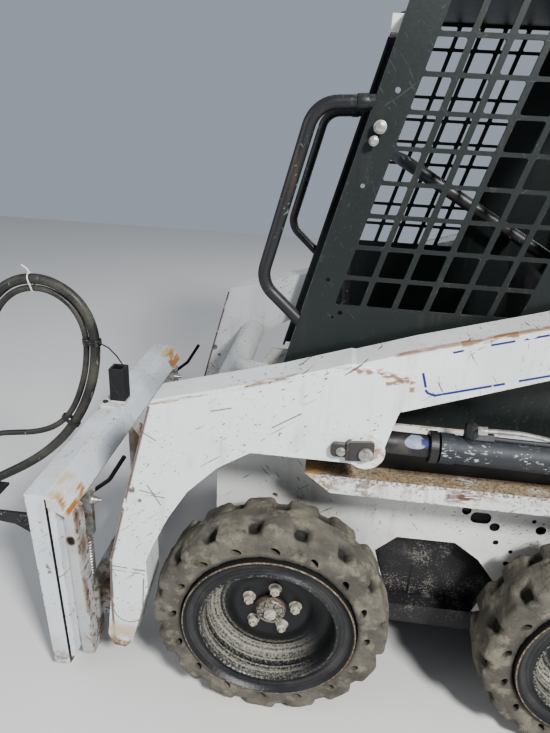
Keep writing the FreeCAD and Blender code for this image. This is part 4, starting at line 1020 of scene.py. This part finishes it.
# Seat: foam cushion and back under black vinyl, crowned, drawn in along two sewn channels and a front
# seam. The covers are blown up as cloth, then the channels are pressed in.
def seat_vinyl():
    """Black vinyl with a fine grain, worn dull and dusty in patches."""
    material, shader, place = new_material("seat_vinyl")
    grain = place.noise(420.0, 3.0)
    cloud = place.noise(8.0, 5.0)
    base = colour(place, (0.018, 0.018, 0.019)).mixed((0.085, 0.080, 0.070), cloud.above(0.48, 0.70) * 0.6)
    base = base.mixed((0.16, 0.15, 0.13), place.noise(60.0).above(0.64, 0.70) * 0.5)
    connect(shader, base, 0.42 + cloud * 0.2, grain, 0.0008)
    return material


def blown(piece, cap):
    """Swell a piece as cloth under pressure; no point moves more than the cap."""
    before = [corner.co.copy() for corner in piece.data.vertices]
    cloth = piece.modifiers.new("cover", "CLOTH")
    cloth.settings.use_pressure = True
    cloth.settings.uniform_pressure_force = 4.0
    cloth.settings.effector_weights.gravity = 0.0
    cloth.point_cache.frame_start = 1
    cloth.point_cache.frame_end = 20
    for step in range(1, 21):
        bpy.context.scene.frame_set(step)
    bpy.context.view_layer.objects.active = piece
    bpy.ops.object.modifier_apply(modifier=cloth.name)
    for corner, start in zip(piece.data.vertices, before):
        moved = corner.co - start
        if moved.length > cap:
            corner.co = start + moved.normalized() * cap
    bpy.context.scene.frame_set(1)


def pad(name, length, width, thick, channels):
    """Cushion lying flat round the origin: crowned, waisted between its corners, with sewn channels."""
    crown_height = 0.012
    waist = 0.012
    drawn_in = 0.010
    seam_half_width = 0.006
    seam_depth = 0.009
    bpy.ops.mesh.primitive_cube_add(size=2.0)
    piece = bpy.context.active_object
    piece.name = name
    bpy.ops.object.mode_set(mode="EDIT")
    bpy.ops.mesh.subdivide(number_cuts=9)
    bpy.ops.object.mode_set(mode="OBJECT")
    for corner in piece.data.vertices:
        u, v, w = corner.co
        crown = (1 - u ** 4) * (1 - v ** 4)
        draw = drawn_in * (1 - crown) * (w > 0)
        corner.co.x = u * (length / 2 - waist * (1 - v ** 2) * abs(u) - draw)
        corner.co.y = v * (width / 2 - waist * (1 - u ** 2) * abs(v) - draw)
        corner.co.z = w * (thick / 2 - crown_height) + (crown_height * (crown - 1) if w > 0 else 0.0)
    bevelled(piece, 0.010, 3)
    modified(piece, "REMESH", mode="VOXEL", voxel_size=0.006)
    blown(piece, 0.006)
    for corner in piece.data.vertices:
        x, y, z = corner.co
        if z > -thick * 0.2:
            dip = sum(math.exp(-((y - line) / seam_half_width) ** 2) for line in channels)
            dip += 0.7 * math.exp(-((abs(x) - length * 0.36) / seam_half_width) ** 2)
            corner.co.z = z - seam_depth * min(dip, 1.0)
    return modified(piece, "SUBSURF", levels=1, render_levels=1)


vinyl = seat_vinyl()
cushion = pad("padded_cushion", 0.440, 0.450, 0.096, (-0.110, 0.110))
placed(cushion, (front_axle_x - 0.465, 0.0, 0.690))
back = pad("padded_back", 0.490, 0.440, 0.088, (-0.105, 0.105))
placed(back, (front_axle_x - 0.7165, 0.0, 0.990), (0.0, -math.atan2(0.500, 0.055), 0.0))
for piece, node in ((cushion, "seat_cushion"), (back, "seat_back")):
    finished(piece, vinyl, "chassis", [node], 180.0)


# Small parts: bolts and handle collars on the cab posts, keepers at the knees, glands and oil lines on the
# lift barrels, coil springs on the lock levers, ties round the hoses. Zinc, black or white.
def hex_bolt(x, z, radius):
    """Long bolt that stands out of the post, its washer under the head."""
    return studs(front_axle_x + x, z, cab_half_width, ((0.0, 0.014, radius * 0.6, 0.0006, 24),
                                                       (0.013, 0.0155, radius * 1.3, 0.0006, 24),
                                                       (0.0152, 0.023, radius, 0.0014, 6)))


def swept(name, route, thickness):
    """Round wire along a route of points."""
    return mesh_of(name, round_curve(name, "POLY", route, thickness, 2))


def hose_tie(name, thick_at, thin_at, turns, wire, tail):
    """Turns of wire drawn tight round both hoses, side by side along them, with one loose tail."""
    thick_centre = Vector((front_axle_x + thick_at[0], 0.400, thick_at[1]))
    thin_centre = Vector((front_axle_x + thin_at[0], 0.400, thin_at[1]))
    across = (thin_centre - thick_centre).normalized()
    side = Vector((0.0, 1.0, 0.0))
    loops = [swept(name + "_tail", [(front_axle_x + x, y, z) for x, y, z in tail], wire)]
    for turn in range(turns):
        shift = across.cross(side) * ((turn - (turns - 1) / 2) * wire * 1.15)
        ring = []
        # middle of the hose, its radius, angle where the wire's half turn round it starts
        for centre, radius, first in ((thick_centre, 0.013, 90.0), (thin_centre, 0.008, -90.0)):
            reach = radius + wire * 0.4
            for k in range(13):
                angle = math.radians(first + k * 15.0)
                ring.append(centre + shift + (across * math.cos(angle) + side * math.sin(angle)) * reach)
        loops.append(swept(name, ring + ring[:2], wire))
    return joined(loops, name)


def folded_box(low, high, edge):
    """Box between two corners with rounded edges."""
    low, high = Vector(low), Vector(high)
    bpy.ops.mesh.primitive_cube_add(size=1.0)
    return bevelled(placed(bpy.context.active_object, (low + high) / 2, scale=high - low), edge)


def keeper_parts():
    """Keeper plate at the knee, and the pin and bolt that it holds."""
    corners = [(-0.2180, 0.8770), (-0.1530, 0.8705), (-0.1530, 0.9205), (-0.2180, 0.9270)]
    plate = bevelled(cut_sheet("keeper_plate", [rounded_ring(corners, 0.009, 6)], 0.5675, 0.0160), 0.0015)
    corners = [(-0.1620, 0.8790), (-0.1185, 0.8780), (-0.1185, 0.9120), (-0.1620, 0.9130)]
    ear = bevelled(cut_sheet("keeper_ear", [rounded_ring(corners, 0.012, 6)], 0.5655, 0.0155), 0.0015)
    fold = folded_box((front_axle_x - 0.1590, 0.574, 0.8725), (front_axle_x - 0.1540, 0.5780, 0.9195), 0.0012)
    pin = studs(front_axle_x + lift_knee[0], lift_knee[1], 0.571, ((0.0, 0.0115, 0.0170, 0.0018, 32),
                                                                   (0.011, 0.0130, 0.0050, 0.0008, 16)))
    bolt = studs(front_axle_x - 0.143, 0.893, 0.571, ((0.0, 0.0035, 0.0115, 0.0006, 24),
                                                      (0.003, 0.0100, 0.0088, 0.0012, 6)))
    return joined([plate, ear, fold], "keeper_plate"), joined(pin + bolt, "keeper_pin")


def oil_line():
    """Elbow on the lift barrel's port, its nut, and the pipe that dips back to the barrel."""
    x, y = front_axle_x - 0.441, lift_side_y
    elbow = turned_bar((x, y, 0.926), (x, y, 0.964), 0.0148, 0.0020, 6)
    nut = turned_bar((x - 0.0145, y, 0.9460), (x - 0.0385, y, 0.9475), 0.0122, 0.0012, 6)
    route = [(-0.472, 0.9475), (-0.508, 0.9495), (-0.540, 0.9500), (-0.570, 0.9480), (-0.600, 0.9435),
             (-0.630, 0.9380), (-0.665, 0.9320), (-0.700, 0.9282), (-0.740, 0.9262)]
    pipe = swept("oil_pipe", [(front_axle_x + x, y, z) for x, z in route], 0.0118)
    return elbow, joined([nut, pipe], "oil_pipe")


def coil_spring():
    """Twelve turns of wire round the carrier's wedge."""
    radius, foot_z, height, steps = 0.0135, 0.302, 0.126, 192
    route = []
    for k in range(steps + 1):
        turn = k * math.pi / 8
        route.append((front_axle_x + 0.561 + radius * math.cos(turn), 0.440 + radius * math.sin(turn),
                      foot_z + height * k / steps))
    return swept("coil_spring", route, 0.0036)


bright_zinc = zinc("bright_zinc", 0.0)
keeper_black = worn_enamel("keeper_black", (0.050, 0.047, 0.044), (0.15, 0.13, 0.10), -0.02)
nylon = worn_enamel("tie_nylon", (0.62, 0.62, 0.60), (0.30, 0.28, 0.24), -0.05)
keeper, keeper_pin = keeper_parts()
elbow, pipe = oil_line()
collar_ends = [(front_axle_x + x, 0.419, z) for x, z in ((-0.128, 1.6342), (-0.104, 1.6329))]
collar = turned_bar(*collar_ends, 0.0168, 0.0012)
bolts = joined(hex_bolt(-0.155, 1.588, 0.0105) + hex_bolt(-0.145, 1.561, 0.0080), "post_bolts")
gland = spun("gland", [(0.0295, 0.0), (0.0375, 0.0), (0.0390, 0.0015), (0.0390, 0.0185), (0.0375, 0.0200),
                       (0.0295, 0.0200)], 48)
placed(gland, (front_axle_x - 0.3515, lift_side_y, 0.8918), (0.0, math.atan(lift_slope), math.pi / 2))
# piece on the left, its name without the side, finish, body on the left, slot
for left, name, finish, body, slot in (
        (keeper, "keeper_plate", keeper_black, "lift_arms", "black_paint"),
        (keeper_pin, "keeper_pin", plug_zinc, "lift_arms", "zinc_steel"),
        (elbow, "oil_elbow", black_enamel, "left_lift_barrel", "black_paint"),
        (pipe, "oil_pipe", plug_zinc, "left_lift_barrel", "zinc_steel"),
        (gland, "gland", black_enamel, "left_lift_barrel", "black_paint"),
        (collar, "handle_collar", cab_paint, "chassis", "charcoal_paint"),
        (bolts, "post_bolts", bright_zinc, "chassis", "zinc_steel"),
        (coil_spring(), "coil_spring", bright_zinc, "tool_carrier", "zinc_steel")):
    left.name = name + "_left"
    right = other_side(left, name + "_right")
    finished(left, finish, body)
    finished(right, finish, body.replace("left", "right"))
# name, middle of the thick hose and of the thin one at the tie, turns, wire, loose tail, finish
for name, thick_at, thin_at, turns, wire, tail, finish in (
        ("hose_tie_white", (0.664, 1.197), (0.660, 1.173), 1, 0.0042,
         [(0.663, 0.403, 1.210), (0.668, 0.404, 1.222), (0.680, 0.406, 1.232)], nylon),
        ("hose_tie_wire", (0.5075, 1.040), (0.5312, 1.040), 4, 0.0036,
         [(0.512, 0.412, 1.046), (0.490, 0.414, 1.044), (0.468, 0.414, 1.034), (0.448, 0.412, 1.012),
          (0.432, 0.411, 0.986), (0.430, 0.411, 0.972)], black_enamel),
        ("hose_tie_low", (0.586, 0.795), (0.609, 0.8100), 3, 0.0036,
         [(0.580, 0.412, 0.800), (0.564, 0.414, 0.812), (0.556, 0.414, 0.830)], black_enamel)):
    finished(hose_tie(name, thick_at, thin_at, turns, wire, tail), finish, "tool_carrier")
